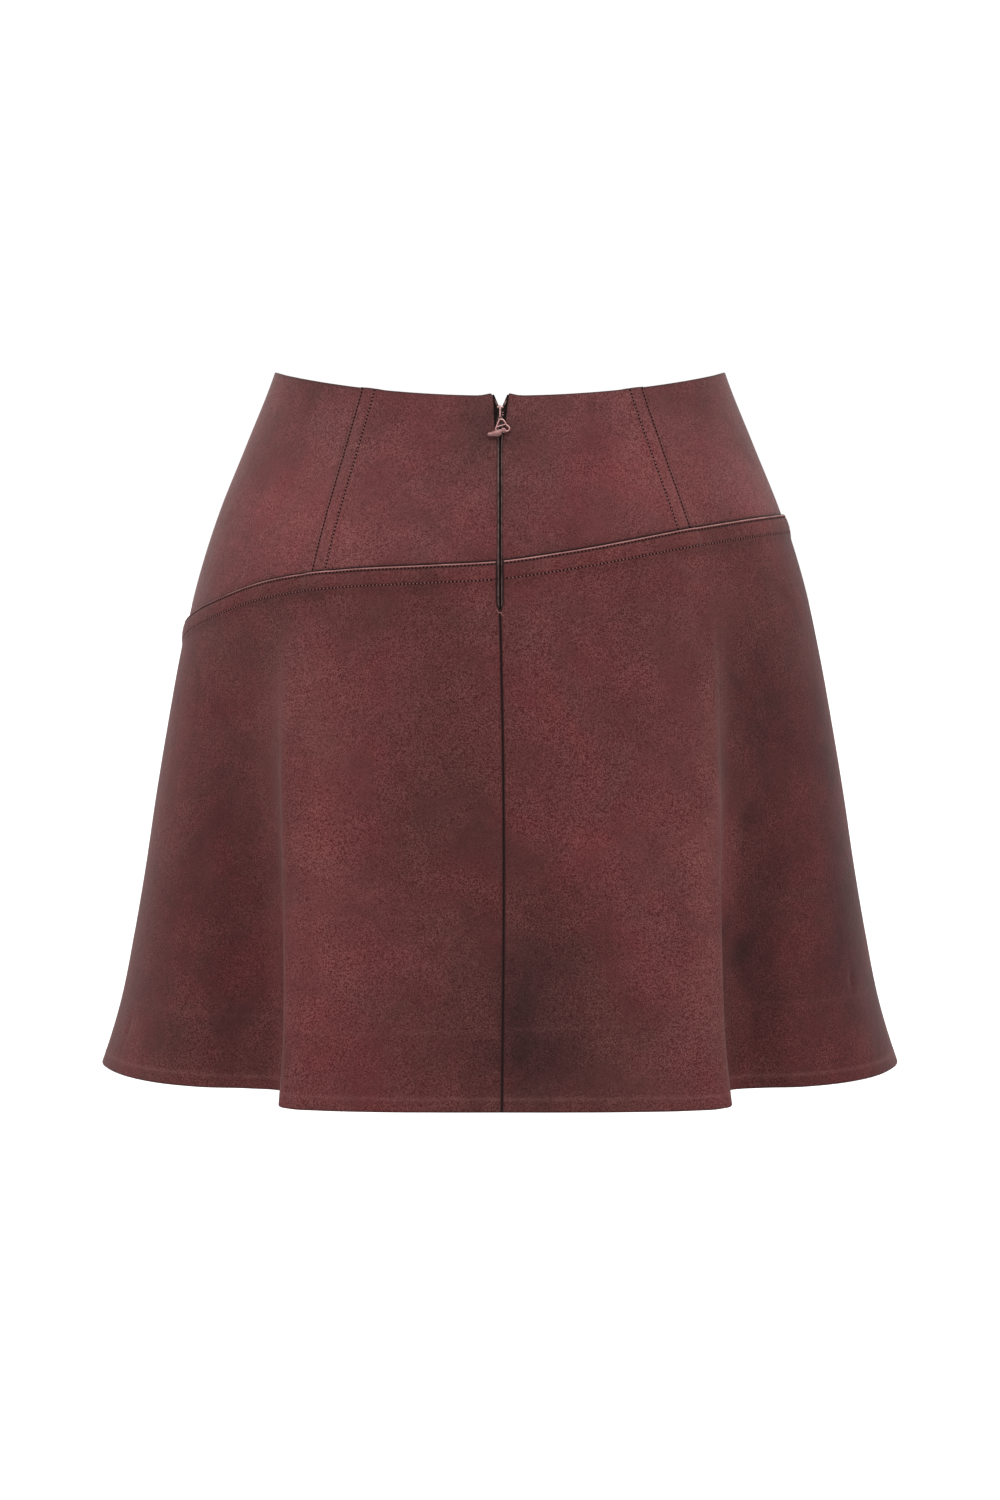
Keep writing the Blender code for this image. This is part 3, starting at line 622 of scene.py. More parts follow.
class Finish(Graph):
    """A new material, ready for its surface to be described."""

    def __init__(self, name, preview):
        self.material = bpy.data.materials.new(name)
        self.material.use_nodes = True
        self.material.diffuse_color = (*preview, 1.0)
        super().__init__(self.material.node_tree)
        self.shader = self.tree.nodes["Principled BSDF"]
        self.place = self.add("ShaderNodeTexCoord", output="Object")

    def noise(self, scale, detail=2.0, roughness=0.5, distortion=0.0, at=None):
        """Soft noise around a half. Its scale is in waves a metre."""
        return self.add(
            "ShaderNodeTexNoise",
            Vector=at or self.place,
            Scale=scale,
            Detail=detail,
            Roughness=roughness,
            Distortion=distortion,
        )

    def mix(self, factor, low, high, blend="MIX"):
        """A colour between two colours."""
        node = self.tree.nodes.new("ShaderNodeMix")
        node.data_type = "RGBA"
        node.blend_type = blend
        node.clamp_factor = True
        self.feed(node.inputs[0], factor)
        self.feed(node.inputs[6], low)
        self.feed(node.inputs[7], high)
        return Value(self, node.outputs[2])

    def attribute(self, name):
        """A number that each point of the piece carries."""
        return self.add("ShaderNodeAttribute", {"attribute_name": name}, output="Fac")

    def bump(self, height, strength, distance, under=None):
        """Fine relief, which may lie over another bump."""
        sockets = {"Height": height, "Strength": strength, "Distance": distance}
        if under is not None:
            sockets["Normal"] = under
        return self.add("ShaderNodeBump", **sockets)

    def surface(self, **sockets):
        """Describe the surface, which finishes the material."""
        for key, value in sockets.items():
            self.feed(self.shader.inputs[key.replace("_", " ")], value)
        return self.material


print("node trees come from", ", ".join(kind.__name__ for kind in (Graph, Finish)))

# %% [markdown]
# ## Leather
#
# The panels are washed, waxed nubuck: a burgundy hide, bonded and buffed, with dye that took unevenly.
# Large clouds of redder and greyer dye lie over a finer mottle. The surface is a fine pebble with short
# worm-like wrinkles, dull, and its nap catches light at a grazing angle as a grey bloom. The nap's tips carry
# a painted highlight and its furrows painted shade, for the light on the fine grain. Edges that are folded,
# and the ridge above the hem, are rubbed a little lighter and pinker, and carry a painted highlight where
# they catch the light. Painted shade darkens the seams, the stitching, the corner above the band and the
# edges.
# Each panel's points carry how much rub and painted highlight, how much painted shade, how red or grey the
# dye is, and patches of dye with painted light and shade, and the material adds the noise.

# %% Leather
# The nap's tips get a painted highlight and its furrows painted shade, for light on the fine grain.
NAP_STEP = 0.0066      # the nap's tips are lighter than its furrows by this much, either way, in every colour
NAP_SHARE = 0.36       # and by this share of the hide's own colour
GREYER = (0.94, 1.12, 1.05)                  # the hide's colour is multiplied by one where the dye took less
REDDER = (1.05, 0.83, 0.865)                 # and by the other where it took well
# the colour of bare fibre on a rubbed fold, which also paints the highlight where a folded edge or ridge
# catches the light
RUBBED_AND_LIT = (0.27, 0.130, 0.120)                # bare fibre on a rubbed fold
BLOOM = (0.90, 0.80, 0.78, 1.0)              # the nap's light at a grazing angle


def leather(name, seed, hide, nap):
    """Nubuck in a hide's colour. seed moves its clouds, and nap is how much bloom it has."""
    graph = Finish(name, hide)
    place = graph.add("ShaderNodeVectorMath", {"operation": "ADD"}, Vector=graph.place)
    place.socket.node.inputs[1].default_value = (seed * 1.7, seed * 0.9, seed * 2.3)
    clouds = graph.noise(13.0, 3.0, 0.55, 0.6, place)
    blots = graph.noise(29.0, 3.0, 0.6, 1.0, place)
    flecks = graph.noise(68.0, 3.0, 0.65, 0.8, place)
    mottle = graph.noise(125.0, 3.0, 0.6, 0.6, place)
    grain = graph.noise(1350.0, 2.0, 0.7, 0.3, place)
    wrinkle = graph.noise(260.0, 3.0, 0.55, 2.2, place)
    lines = 1.0 - ((wrinkle - 0.5) * 9.0).maths("ABSOLUTE").held()
    pebble = graph.add(
        "ShaderNodeTexVoronoi",
        {"feature": "SMOOTH_F1"},
        Vector=place,
        Scale=620.0,
        Smoothness=0.6,
        Randomness=1.0,
    )
    painted_light_and_dye = graph.attribute("painted_light_and_dye")
    redder = graph.attribute("redder")
    rub_and_highlight = graph.attribute("rub_and_highlight")
    painted_shade = graph.attribute("painted_shade")

    buffed = ((blots - 0.5) * 3.0 + 0.9).held(0.4, 1.3)
    fine_nap = ((grain - 0.5) * 4.0 - (lines - 0.35) * 0.18) * buffed
    tips = fine_nap + (mottle - 0.5) * 0.20 + (flecks - 0.5) * 0.12 + 0.5
    # painted shade in the furrows and a painted highlight on the tips of the nap
    shaded_furrow = tuple(c * (1.0 - NAP_SHARE) - NAP_STEP for c in hide)
    lit_tip = tuple(c * (1.0 + NAP_SHARE) + NAP_STEP for c in hide)
    napped = graph.mix(tips.held(), shaded_furrow, lit_tip)
    tint = graph.noise(19.0, 3.0, 0.6, 1.0, graph.place)
    red = ((tint - 0.5) * 1.9 - (blots - 0.5) * 0.5 + (flecks - 0.5) * 0.6 + redder * 0.45 + 0.38).held()
    hue = graph.mix(1.0, napped, graph.mix(red, GREYER, REDDER), "MULTIPLY")
    washed = (clouds - 0.5) * 0.60 + (blots - 0.5) * 0.60 + (flecks - 0.5) * 0.22
    level = (painted_light_and_dye * 0.5 + washed + 1.0).held(0.3, 2.0)
    exposed = graph.add("ShaderNodeVectorMath", {"operation": "SCALE"}, Vector=hue, Scale=level)
    # pale rubbed fibre and a painted highlight on folded edges and ridges
    lightened = (rub_and_highlight * (0.95 + (mottle - 0.5) * 1.6)).held()
    marks_and_painted_light = graph.mix(lightened, exposed, RUBBED_AND_LIT)
    # painted shade: the colour darkens towards a sixth of the hide's in seams, corners, edges and along
    # stitching
    with_painted_shade = graph.mix((painted_shade * 0.9).held(), marks_and_painted_light, tuple(c * 0.16 for c in hide))

    relief = pebble * 0.6 + grain * 0.5 - lines * 0.35
    fine = graph.bump(relief, 0.6, 0.00018)
    return graph.surface(
        Base_Color=with_painted_shade,
        Roughness=(0.66 + (grain - 0.5) * 0.3 - rub_and_highlight * 0.12).held(0.35, 0.95),
        Normal=graph.bump(mottle, 0.4, 0.0007, fine),
        Specular_IOR_Level=0.10,
        Sheen_Weight=nap,
        Sheen_Roughness=0.40,
        Sheen_Tint=BLOOM,
    )


# The yoke's hide is set a little lighter than the skirt's, as a painted highlight for the light from above on
# the yoke, which tilts upwards.
YOKE_LEATHER = leather("yoke leather", 1.0, (0.0715, 0.0192, 0.0198), 0.07)
SKIRT_LEATHER = leather("skirt leather", 2.0, (0.0590, 0.0145, 0.0145), 0.04)
print("nodes in the leather:", len(YOKE_LEATHER.node_tree.nodes))

# %% The backing inside
def leather_back():
    """The bonded backing that shows inside: a close, brushed knit in a duller wine colour."""
    graph = Finish("leather backing", (0.07, 0.03, 0.03))
    rib = graph.noise(900.0, 2.0, 0.5, 0.3)
    cloud = graph.noise(40.0, 3.0, 0.5, 0.2)
    colour = graph.mix(cloud, (0.055, 0.022, 0.023), (0.085, 0.036, 0.036))
    return graph.surface(
        Base_Color=graph.mix(rib * 0.5, colour, (0.035, 0.014, 0.015)),
        Roughness=(0.88 + (rib - 0.5) * 0.1).held(),
        Normal=graph.bump(rib, 0.4, 0.0002),
        Specular_IOR_Level=0.2,
        Sheen_Weight=0.25,
        Sheen_Roughness=0.6,
    )


BACKING = leather_back()
print("nodes in the backing:", len(BACKING.node_tree.nodes))

# %% [markdown]
# ## Thread, tape and enamel
#
# Polyester thread is dyed to the leather and rubbed paler where it stands up. The zip's tapes are woven and
# nearly black. The slider and its pull are cast metal under rose brown enamel. These parts are small, so
# one short recipe serves thread, coil and the needle holes' painted shadow, and the tape and the enamel get
# one more mask each, a painted highlight, with painted shade on the enamel where it is missing.

# %% Thread, coil and the needle holes' painted shadow
def simple(name, colour, roughness, **sockets):
    """A small part's material: its colour and roughness vary a little over it."""
    graph = Finish(name, colour)
    noise = graph.noise(sockets.pop("waves", 700.0), 3.0, 0.5)
    dark = tuple(c * 0.8 for c in colour)
    light = tuple(min(1.0, c * 1.2) for c in colour)
    return graph.surface(
        Base_Color=graph.mix(noise, dark, light),
        Roughness=(roughness + (noise - 0.5) * 0.2).held(0.05, 1.0),
        Normal=graph.bump(noise, 0.25, 0.00006),
        **sockets,
    )


THREAD = simple("burgundy thread", (0.075, 0.022, 0.022), 0.7, waves=2500.0, Specular_IOR_Level=0.15)
PALE_THREAD = simple("rubbed thread", (0.145, 0.060, 0.057), 0.7, waves=2500.0, Specular_IOR_Level=0.15)
# The needle hole is painted near black: a painted shadow standing for the hole's dark inside.
HOLE_SHADOW = simple("needle hole", (0.009, 0.003, 0.003), 0.95, Specular_IOR_Level=0.03)
COIL = simple("zip coil", (0.010, 0.006, 0.006), 0.45, waves=900.0, Specular_IOR_Level=0.15)
print("small finishes:", ", ".join(m.name for m in (THREAD, PALE_THREAD, HOLE_SHADOW, COIL)))

# %% The tapes' cloth and the pull's enamel
def tape_cloth():
    """Woven polyester, nearly black, with a painted brownish highlight along the crown of its fold and a
    painted glint near the waist.
    """
    graph = Finish("zip tape", (0.03, 0.02, 0.02))
    weave = graph.noise(1800.0, 3.0, 0.5)
    patchy = graph.noise(240.0, 3.0, 0.6)
    crown_highlight = (graph.attribute("touched") * (0.44 + (patchy - 0.5) * 1.6)).held()
    return graph.surface(
        Base_Color=graph.mix(crown_highlight, (0.008, 0.004, 0.003), (0.135, 0.076, 0.070)),
        Roughness=(0.85 + (weave - 0.5) * 0.2).held(),
        Normal=graph.bump(weave, 0.25, 0.00006),
        Specular_IOR_Level=0.10,
    )


TAPE = tape_cloth()


def enamel():
    """Rose brown enamel on cast metal, painted pale as a highlight where its faces look out and up, and
    painted dark as shade where they look away.
    """
    graph = Finish("rose brown enamel", (0.20, 0.09, 0.085))
    touched = graph.attribute("touched")
    uneven = graph.noise(900.0, 3.0, 0.6)
    bright = (touched + (uneven - 0.5) * 1.1).spread(0.60, 1.15)
    base = graph.mix((touched * 1.6).held(), (0.030, 0.008, 0.008), (0.215, 0.085, 0.080))
    return graph.surface(
        Base_Color=graph.mix(bright, base, (0.62, 0.40, 0.37)),
        Roughness=(0.34 + (uneven - 0.5) * 0.3).held(0.15, 0.8),
        Normal=graph.bump(uneven, 0.25, 0.00006),
        Specular_IOR_Level=0.35,
        Coat_Weight=0.15,
        Coat_Roughness=0.2,
    )


METAL = enamel()
print("and", TAPE.name, "and", METAL.name)

# %% [markdown]
# ## A fine wall of cloth
#
# Every panel is a thin closed shell: an outer and an inner face that meet in a rounded rim. Its points are
# laid out between two edges, which are functions of height, in rows that follow its top and foot. Rows and
# columns crowd together where there is something small to show, such as a rim, a groove or the hem's step.
# The large patches of dye, and of painted light and shade, come first. Each point of the wall looks them up.

# %% Patches of dye, with painted light and shade
# The lighter column is partly dye and partly painted light and shade: the fold crests, their flanks and the
# yoke's sides are painted lighter as a highlight; the valleys, the strip under the yoke seam, the hem and the
# right side's edge are painted darker as shade.
DYE_AND_PAINTED_LIGHT = (
    # name, turn, height, wide, high, lighter, redder
    ("yoke, top centre", -3.0, -30.0, 60.0, 50.0, -0.66, -0.1),
    ("yoke, left of the lap", -47.0, -70.0, 84.0, 66.0, 0.56, 0.0),
    ("yoke, right of the zip", 21.0, -58.0, 60.0, 55.0, 0.10, 0.7),
    ("yoke, right of the lap", 35.0, -58.0, 84.0, 54.0, 0.54, 0.0),
    ("yoke, right end", 66.0, -78.0, 50.0, 52.0, 0.75, 0.0),
    ("over the seam, left", -28.0, -96.0, 70.0, 14.0, -0.12, -0.3),
    ("waist, left", -52.0, -8.0, 50.0, 26.0, -0.40, 0.0),
    ("waist, right", 58.0, -8.0, 60.0, 26.0, -0.44, 0.0),
    ("over the seam, right", 9.4, -95.0, 60.0, 12.0, -0.12, -0.5),
    ("under the yoke seam, left", -34.0, -124.0, 66.0, 24.0, -0.44, -0.5),
    ("under the yoke seam, beside the zip", -6.0, -112.0, 34.0, 20.0, 0.32, 0.3),
    ("under the yoke seam, right", 54.0, -126.0, 60.0, 50.0, 0.36, 0.2),
    ("left crest, high", -36.0, -192.0, 52.0, 170.0, 0.66, -0.9),
    ("left panel, high", -22.0, -170.0, 66.0, 84.0, 0.22, 0.5),
    ("left panel, low", -23.0, -309.0, 70.0, 66.0, 0.26, 0.5),
    ("left panel, middle", -30.0, -240.0, 50.0, 120.0, 0.28, 0.2),
    ("left crest, far side", -49.0, -305.0, 26.0, 130.0, 0.34, 0.0),
    ("left crest, low", -36.0, -318.0, 46.0, 130.0, 0.38, 0.0),
    ("left of the seam", -9.0, -200.0, 70.0, 170.0, -0.36, -0.6),
    ("beside the seam", 8.0, -175.0, 40.0, 120.0, 0.14, 0.0),
    ("right panel, middle", 14.0, -255.0, 44.0, 50.0, 0.45, 0.4),
    ("right crest", 34.0, -215.0, 60.0, 330.0, 0.38, -0.5),
    ("right crest's edge", 39.6, -250.0, 20.0, 340.0, 0.58, -1.1),
    ("right fold's flank", 46.0, -295.0, 22.0, 240.0, 0.62, 0.0),
    ("right valley's near edge", 51.0, -290.0, 12.0, 230.0, 0.45, 0.2),
    ("right panel, low", 34.6, -325.0, 46.0, 40.0, 0.12, 0.5),
    ("right of the seam, low", 8.0, -310.0, 64.0, 90.0, -0.62, -0.2),
    ("left of the seam, low", -8.0, -345.0, 90.0, 110.0, -0.24, -0.3),
    ("hem, centre", 9.5, -369.0, 84.0, 62.0, -0.84, -0.1),
    ("right valley, high", 53.5, -200.0, 60.0, 200.0, -0.62, 0.2),
    ("right valley, low", 55.5, -338.0, 44.0, 165.0, -0.68, 0.3),
    ("right side, high", 66.0, -190.0, 50.0, 130.0, -0.34, 0.2),
    ("right side, edge", 79.0, -270.0, 64.0, 270.0, -0.86, 2.4),
    ("right side, low", 68.0, -330.0, 90.0, 170.0, -0.30, 0.6),
    ("left valley", -57.0, -290.0, 52.0, 260.0, -0.58, 0.8),
    ("left side, middle", -66.0, -270.0, 44.0, 170.0, -0.24, 0.3),
    ("left side, low", -74.0, -320.0, 84.0, 200.0, -0.26, 0.3),
    ("front yoke, worn", 168.0, -52.0, 110.0, 60.0, 0.22, 0.4),
    ("front yoke, left", 215.0, -70.0, 80.0, 60.0, 0.18, 0.5),
    ("front crest, right", 147.0, -230.0, 50.0, 260.0, 0.35, 0.2),
    ("front crest, left", 209.0, -240.0, 50.0, 240.0, 0.35, 0.2),
    ("front panel, high", 186.0, -170.0, 90.0, 90.0, -0.20, -0.6),
    ("front panel, low", 170.0, -310.0, 90.0, 90.0, 0.15, 0.6),
    ("front valley, right", 130.0, -290.0, 52.0, 260.0, -0.50, 0.3),
    ("front valley, left", 224.0, -290.0, 52.0, 260.0, -0.50, 0.3),
    ("front hem", 184.0, -376.0, 90.0, 44.0, -0.40, -0.5),
)


def wander(along, seed):
    """A slow uneven sway, which keeps a patch from looking round."""
    quick = 4.0 * np.sin(along / 6.3 + 2.1 * seed)
    return 5.0 * np.sin(along / 11.0 + seed) + quick + 7.0 * np.sin(along / 27.0 - seed)


def dye_and_painted_light(turn, height):
    """How much lighter, by dye and by painted light and shade, and how much redder than the hide's usual
    colour.
    """
    painted_light_and_dye = np.zeros(np.broadcast(turn, height).shape)
    redder = np.zeros(painted_light_and_dye.shape)
    for row, (_, at_turn, at_height, wide, high, light, red) in enumerate(DYE_AND_PAINTED_LIGHT):
        scale = float(degree_length(at_turn, at_height))
        across = signed_turn(np.asarray(turn) - at_turn) * scale
        along = height - at_height
        across, along = across + 0.7 * wander(along, row), along + wander(across, row + 3.0)
        near = np.exp(-((2.0 * across / wide) ** 2) - ((2.0 * along / high) ** 2))
        painted_light_and_dye = painted_light_and_dye + light * near
        redder = redder + red * near
    return painted_light_and_dye, redder


print("patches of dye:", len(DYE_AND_PAINTED_LIGHT))

# %% Rows and columns of points
RIM = (0.0, 0.035, 0.13, 0.29, 0.53)     # distances from an edge that is rounded by about half a millimetre
FAR = 1.0e3                              # from any edge
FIRST_GUESS = -60.0                      # a height at which every side edge can be read
EDGE_ROUNDS = 5                          # an edge's turn and its rows' heights settle in a few rounds


def rounding(inset, radius):
    """How far a rounded edge's face has dropped at inset millimetres from the edge."""
    left = np.clip(radius - inset, 0.0, radius)
    return radius - np.sqrt(radius * radius - left * left)


def fitted_grid(rows_at, first, last, near_first, near_last, shares):
    """Turns and heights of a panel's points, and each column's distance from its nearer side edge."""

    def edge_line(edge):
        turn = np.array([[float(edge(FIRST_GUESS))]])
        for _ in range(EDGE_ROUNDS):
            turn = edge(rows_at(turn))
        return turn

    start = edge_line(first)
    end = edge_line(last)
    begin = [turn_beside(start, rows_at(start), d) for d in near_first]
    finish = [turn_beside(end, rows_at(end), -d) for d in near_last]
    a = begin[-1]
    b = finish[-1]
    middle = [a + (b - a) * share for share in shares[1:-1]]
    turn = np.concatenate(begin + middle + finish[::-1], axis=1)
    inset = np.array(list(near_first) + [FAR] * len(middle) + list(near_last)[::-1])
    return turn, rows_at(turn), inset


def rows_between(start, end, count):
    """Rows spaced evenly between two rows, without those two."""
    return [tuple(a + (b - a) * k / count for a, b in zip(start, end)) for k in range(1, count)]


def row_heights(rows, upper, lower):
    """A panel's rows. Each is a share of the upper line, a share of the lower line and a height to add."""
    table = np.array(rows)

    def rows_at(turn):
        return table[:, :1] * upper(turn) + table[:, 1:2] * lower(turn) + table[:, 2:]

    return rows_at


def grid_faces(rows, columns, offset, flip):
    """The quads between rows and columns of points."""
    i = np.arange(rows * columns).reshape(rows, columns) + offset
    quads = np.stack([i[:-1, :-1], i[1:, :-1], i[1:, 1:], i[:-1, 1:]], axis=-1).reshape(-1, 4)
    return quads[:, ::-1] if flip else quads


print("rows crowd at", len(RIM), "distances from each rounded edge")

# %% A closed shell of cloth
def finished_object(name, points, faces, materials, indices=None, **attributes):
    """A plain mesh object at the origin, from points in millimetres."""
    mesh = bpy.data.meshes.new(name)
    mesh.from_pydata((np.asarray(points) * MM).tolist(), [], [list(map(int, face)) for face in faces])
    for material in materials:
        mesh.materials.append(material)
    if indices is not None:
        mesh.polygons.foreach_set("material_index", np.asarray(indices, dtype=np.int32))
    for key, values in attributes.items():
        layer = mesh.attributes.new(key, "FLOAT", "POINT")
        layer.data.foreach_set("value", np.asarray(values, dtype=np.float32))
    mesh.polygons.foreach_set("use_smooth", np.ones(len(mesh.polygons), dtype=bool))
    mesh.update()
    return placed(name, mesh)


def cloth_panel(name, turn, height, raised, thickness, drop, rub_and_highlight, painted_shade, materials, lined):
    """A closed shell of cloth. lined says which points of its inner face show the backing."""
    laid_out = np.broadcast_arrays(turn, height, raised, thickness, drop, rub_and_highlight, painted_shade)
    turn, height, raised, thickness, drop, rub_and_highlight, painted_shade = laid_out
    rows, columns = turn.shape
    outer = cloth_point(turn, height, raised - drop).reshape(-1, 3)
    inner = cloth_point(turn, height, raised - thickness + drop).reshape(-1, 3)
    count = rows * columns
    outside = grid_faces(rows, columns, 0, False)
    inside = grid_faces(rows, columns, count, True)
    i = np.arange(count).reshape(rows, columns)
    rim = np.concatenate([i[0, :], i[1:, -1], i[-1, -2::-1], i[-2:0:-1, 0]])
    ahead = np.roll(rim, -1)
    edge = np.stack([rim, ahead, ahead + count, rim + count], axis=-1)
    backed = np.broadcast_to(lined, turn.shape).reshape(-1)[inside[:, 0] - count]
    indices = np.concatenate([np.zeros(len(outside)), backed.astype(float), np.zeros(len(edge))])
    faces = np.concatenate([outside, inside, edge])
    painted_light_and_dye, redder = dye_and_painted_light(turn, height)
    marks_and_painted_light = {"rub_and_highlight": rub_and_highlight, "painted_shade": painted_shade, "painted_light_and_dye": painted_light_and_dye, "redder": redder}
    on_both = {key: np.tile(values.reshape(-1), 2) for key, values in marks_and_painted_light.items()}
    print(name, rows, "x", columns, "points a face,", len(faces) * 2, "triangles")
    return finished_object(name, np.concatenate([outer, inner]), faces, materials, indices, **on_both)


panels = {}

# %% [markdown]
# ## The yoke
#
# Five panels, cut close to the hip. The two beside the zip lap over the side ones and are topstitched
# twice, at the edge and nine millimetres in. Their feet run on beneath the skirt's folded top edge.

# %% How the yoke's rows, edges and dye lie
FOOT_RISES = (3.2, 2.1, 1.3, 0.8, 0.4, 0.0, -1.5, -UNDERLAP)     # from the yoke seam
NEAR_SLOT = RIM + (0.9, 1.5, 2.4, 3.6)
NEAR_LAP = (
    0.0, 0.05, 0.18, 0.40, 0.70, 0.85, 1.0, 1.12, 1.25, 1.38, 1.5, 1.7, 2.1, 2.8, 3.8, 5.0, 6.2, 7.2, 7.8,
    8.2, 8.45, 8.62, 8.8, 8.98, 9.15, 9.4, 9.8, 10.5, 11.5, 12.8, 14.5,
)
LAP_RUB_AND_HIGHLIGHT = 0.10
YOKE_ROUND = 0.52      # the radius of a cut edge
YOKE_FIELD = 100.0     # about the yoke's height, shared out in rows
WAIST_BACK = float(waist_height(0.0))


def yoke_rows(step):
    """Rows from the rounded waist edge to the foot beneath the skirt's band."""
    top = [(1.0, 0.0, -near) for near in RIM]
    foot = [(0.0, 1.0, rise) for rise in FOOT_RISES]
    field = rows_between(top[-1], foot[0], int(YOKE_FIELD / step))
    return row_heights(top + field + foot, waist_edge, seam_height)


def waist_drop(rows):
    """The rounding of the waist's edge, row by row."""
    inset = np.full(rows, FAR)
    inset[: len(RIM)] = RIM
    return rounding(inset, YOKE_ROUND)[:, None]


def notch_lift(turn, height):
    """The corners of the waist beside the zip turn outwards a little."""
    beside = np.abs(signed_turn(turn)) * degree_length(0.0, WAIST_BACK)
    below = waist_height(turn) - height
    return streak(beside, 9.0) * streak(below, 11.0)


def yoke_raised(turn, height, side=0):
    """The outer face of a yoke panel above the form. side picks the centre-back panel's lap."""
    raised = 0.05 * pucker(signed_turn(turn) * 2.6, 5) * np.exp(-((waist_height(turn) - height) / 6.0))
    if side:
        inside = inside_lap(side, turn, height)
        raised = raised + lap_rise(turn, height, 0.0) + stitched_relief(inside, LAP, height * 1.3, side)
        raised = raised + 0.8 * notch_lift(turn, height)
    return raised + crease_relief(turn, height)


def yoke_painted_shade(turn, height):
    """Painted shade: a dark line in the corner above the skirt's band, for the band's shadow, and along the
    waist's very edge.
    """
    above = height - seam_height(turn)
    return 2.0 * streak(np.clip(above, 0.0, None), 0.95) + 0.9 * streak(waist_edge(turn) - height, 0.8)


print("the waist's edge is rounded by", YOKE_ROUND, "mm")

# %% One panel of the yoke
def yoke_panel(name, rows_at, first, last, near_first, near_last, between, side=0):
    """One panel of the yoke. side is given for a centre-back panel, whose lapped edge is near NEAR_LAP."""
    shares = np.linspace(0.0, 1.0, between)
    turn, height, inset = fitted_grid(rows_at, first, last, near_first, near_last, shares)
    rub_and_highlight = 0.05 * streak(waist_edge(turn) - height, 1.0)
    painted_shade = yoke_painted_shade(turn, height)
    if side:
        lapped = np.full(len(inset), FAR)
        if near_first is NEAR_LAP:
            lapped[: len(NEAR_LAP)] = NEAR_LAP
        else:
            lapped[-len(NEAR_LAP):] = NEAR_LAP[::-1]
        slot = np.where(lapped < FAR, FAR, inset)
        # painted highlight along the lapped edge, and painted shade at the slot's edges and along both rows
        # of stitches
        rub_and_highlight = rub_and_highlight + LAP_RUB_AND_HIGHLIGHT * streak(lapped, 0.8)
        painted_shade = painted_shade + 0.55 * streak(slot, 0.42) + 0.75 * streak(lapped - STITCH_IN, 0.55)
        painted_shade = painted_shade + 0.60 * streak(lapped - LAP, 0.5)
    else:
        # painted shade on a side panel just outside a lapped edge, and along its side edges
        for lap in LAP_EDGE:
            outside = -inside_lap(lap, turn, height)
            beyond = (outside > 0.0) * (signed_turn(turn) * lap > 0.0)
            painted_shade = painted_shade + 0.75 * streak(outside, 0.7) * beyond
        painted_shade = painted_shade + 0.6 * streak(inset, 0.5)
    panels[name] = cloth_panel(
        name + "_leather",
        turn,
        height,
        yoke_raised(turn, height, side),
        CLOTH,
        np.maximum(waist_drop(len(turn)), rounding(inset, YOKE_ROUND)),
        rub_and_highlight,
        painted_shade,
        (YOKE_LEATHER, BACKING),
        True,
    )


def lap_line(side, inside=0.0):
    """The lapped edge, or a line beside it, as a function of height."""

    def turn(height):
        return turn_beside(lap_turn(side, height), height, -side * inside)

    return turn


def side_edge(seam_turn, side):
    """A panel's edge at a side seam."""

    def turn(height):
        return turn_beside(seam_turn, height, side * SEAM_SHUT / 2)

    return turn


print("the lap's columns crowd at", len(NEAR_LAP), "distances from its edge")

# %% The five panels of the yoke
fine = yoke_rows(1.15)
middling = yoke_rows(1.7)
yoke_panel("yoke_centre_back_left", fine, lap_line(-1), centre_edge(-1), NEAR_LAP, NEAR_SLOT, 52, -1)
yoke_panel("yoke_centre_back_right", fine, centre_edge(1), lap_line(1), NEAR_SLOT, NEAR_LAP, 52, 1)
yoke_panel("yoke_side_back_left", middling, side_edge(-90.0, 1), lap_line(-1, LAP), RIM, RIM, 92)
yoke_panel("yoke_side_back_right", middling, lap_line(1, LAP), side_edge(90.0, -1), RIM, RIM, 92)
yoke_panel("yoke_front", yoke_rows(2.6), side_edge(90.0, 1), side_edge(270.0, -1), RIM, RIM, 190)

# %% [markdown]
# ## The flared skirt
#
# Two panels behind, joined below the zip, and one in front. The top edge is turned under and stitched down
# over the yoke in two rows. The hem is turned up by about forty millimetres and pressed, which prints a
# faint line at its top edge and a ridge just above the fold.

# %% The skirt's relief
HEM_RIDGE = 7.0        # above the hem's fold


def hem_allowance(turn):
    """The turned-up width, which isn't cut quite even round the skirt."""
    slant = 3.5 * np.sin(np.radians(signed_turn(turn) + 5.0))
    return HEM_TURN_UP + slant + 0.8 * np.sin(np.radians(turn * 3.0))


def hem_relief(turn, height):
    """The ridge above the hem's fold, and the print of the turned-up edge."""
    up = height - HEM_HEIGHT
    sway = 0.6 * np.sin(np.radians(turn * 5.0)) + 0.4 * np.sin(np.radians(turn * 11.0))
    ridge_fades = 0.75 + 0.25 * np.sin(np.radians(turn * 7.0))
    print_fades = 0.7 + 0.3 * np.sin(np.radians(turn * 4.0 + 40.0))
    ridge = 0.11 * streak(up - HEM_RIDGE - sway, 0.9) * ridge_fades
    return ridge + 0.06 * streak(up - hem_allowance(turn), 1.2) * print_fades


def seam_relief(turn, height):
    """The centre-back seam below the zip: a ditch between two soft rolls of cloth."""
    away = np.abs(signed_turn(turn) - centre_back_turn(height)) * degree_length(0.0, height)
    closed = 1.0 - smooth_step(height, ZIP_END - 2.0, ZIP_END + SLOT_CLOSES)
    return closed * (0.28 * streak(away - 3.4, 2.2) - 0.40 * streak(away, 1.2))


def below_band(drop):
    """0 on the folded band and 1 where the cloth has settled below it."""
    return smooth_step(drop, BAND - 0.5, BAND + SETTLE)


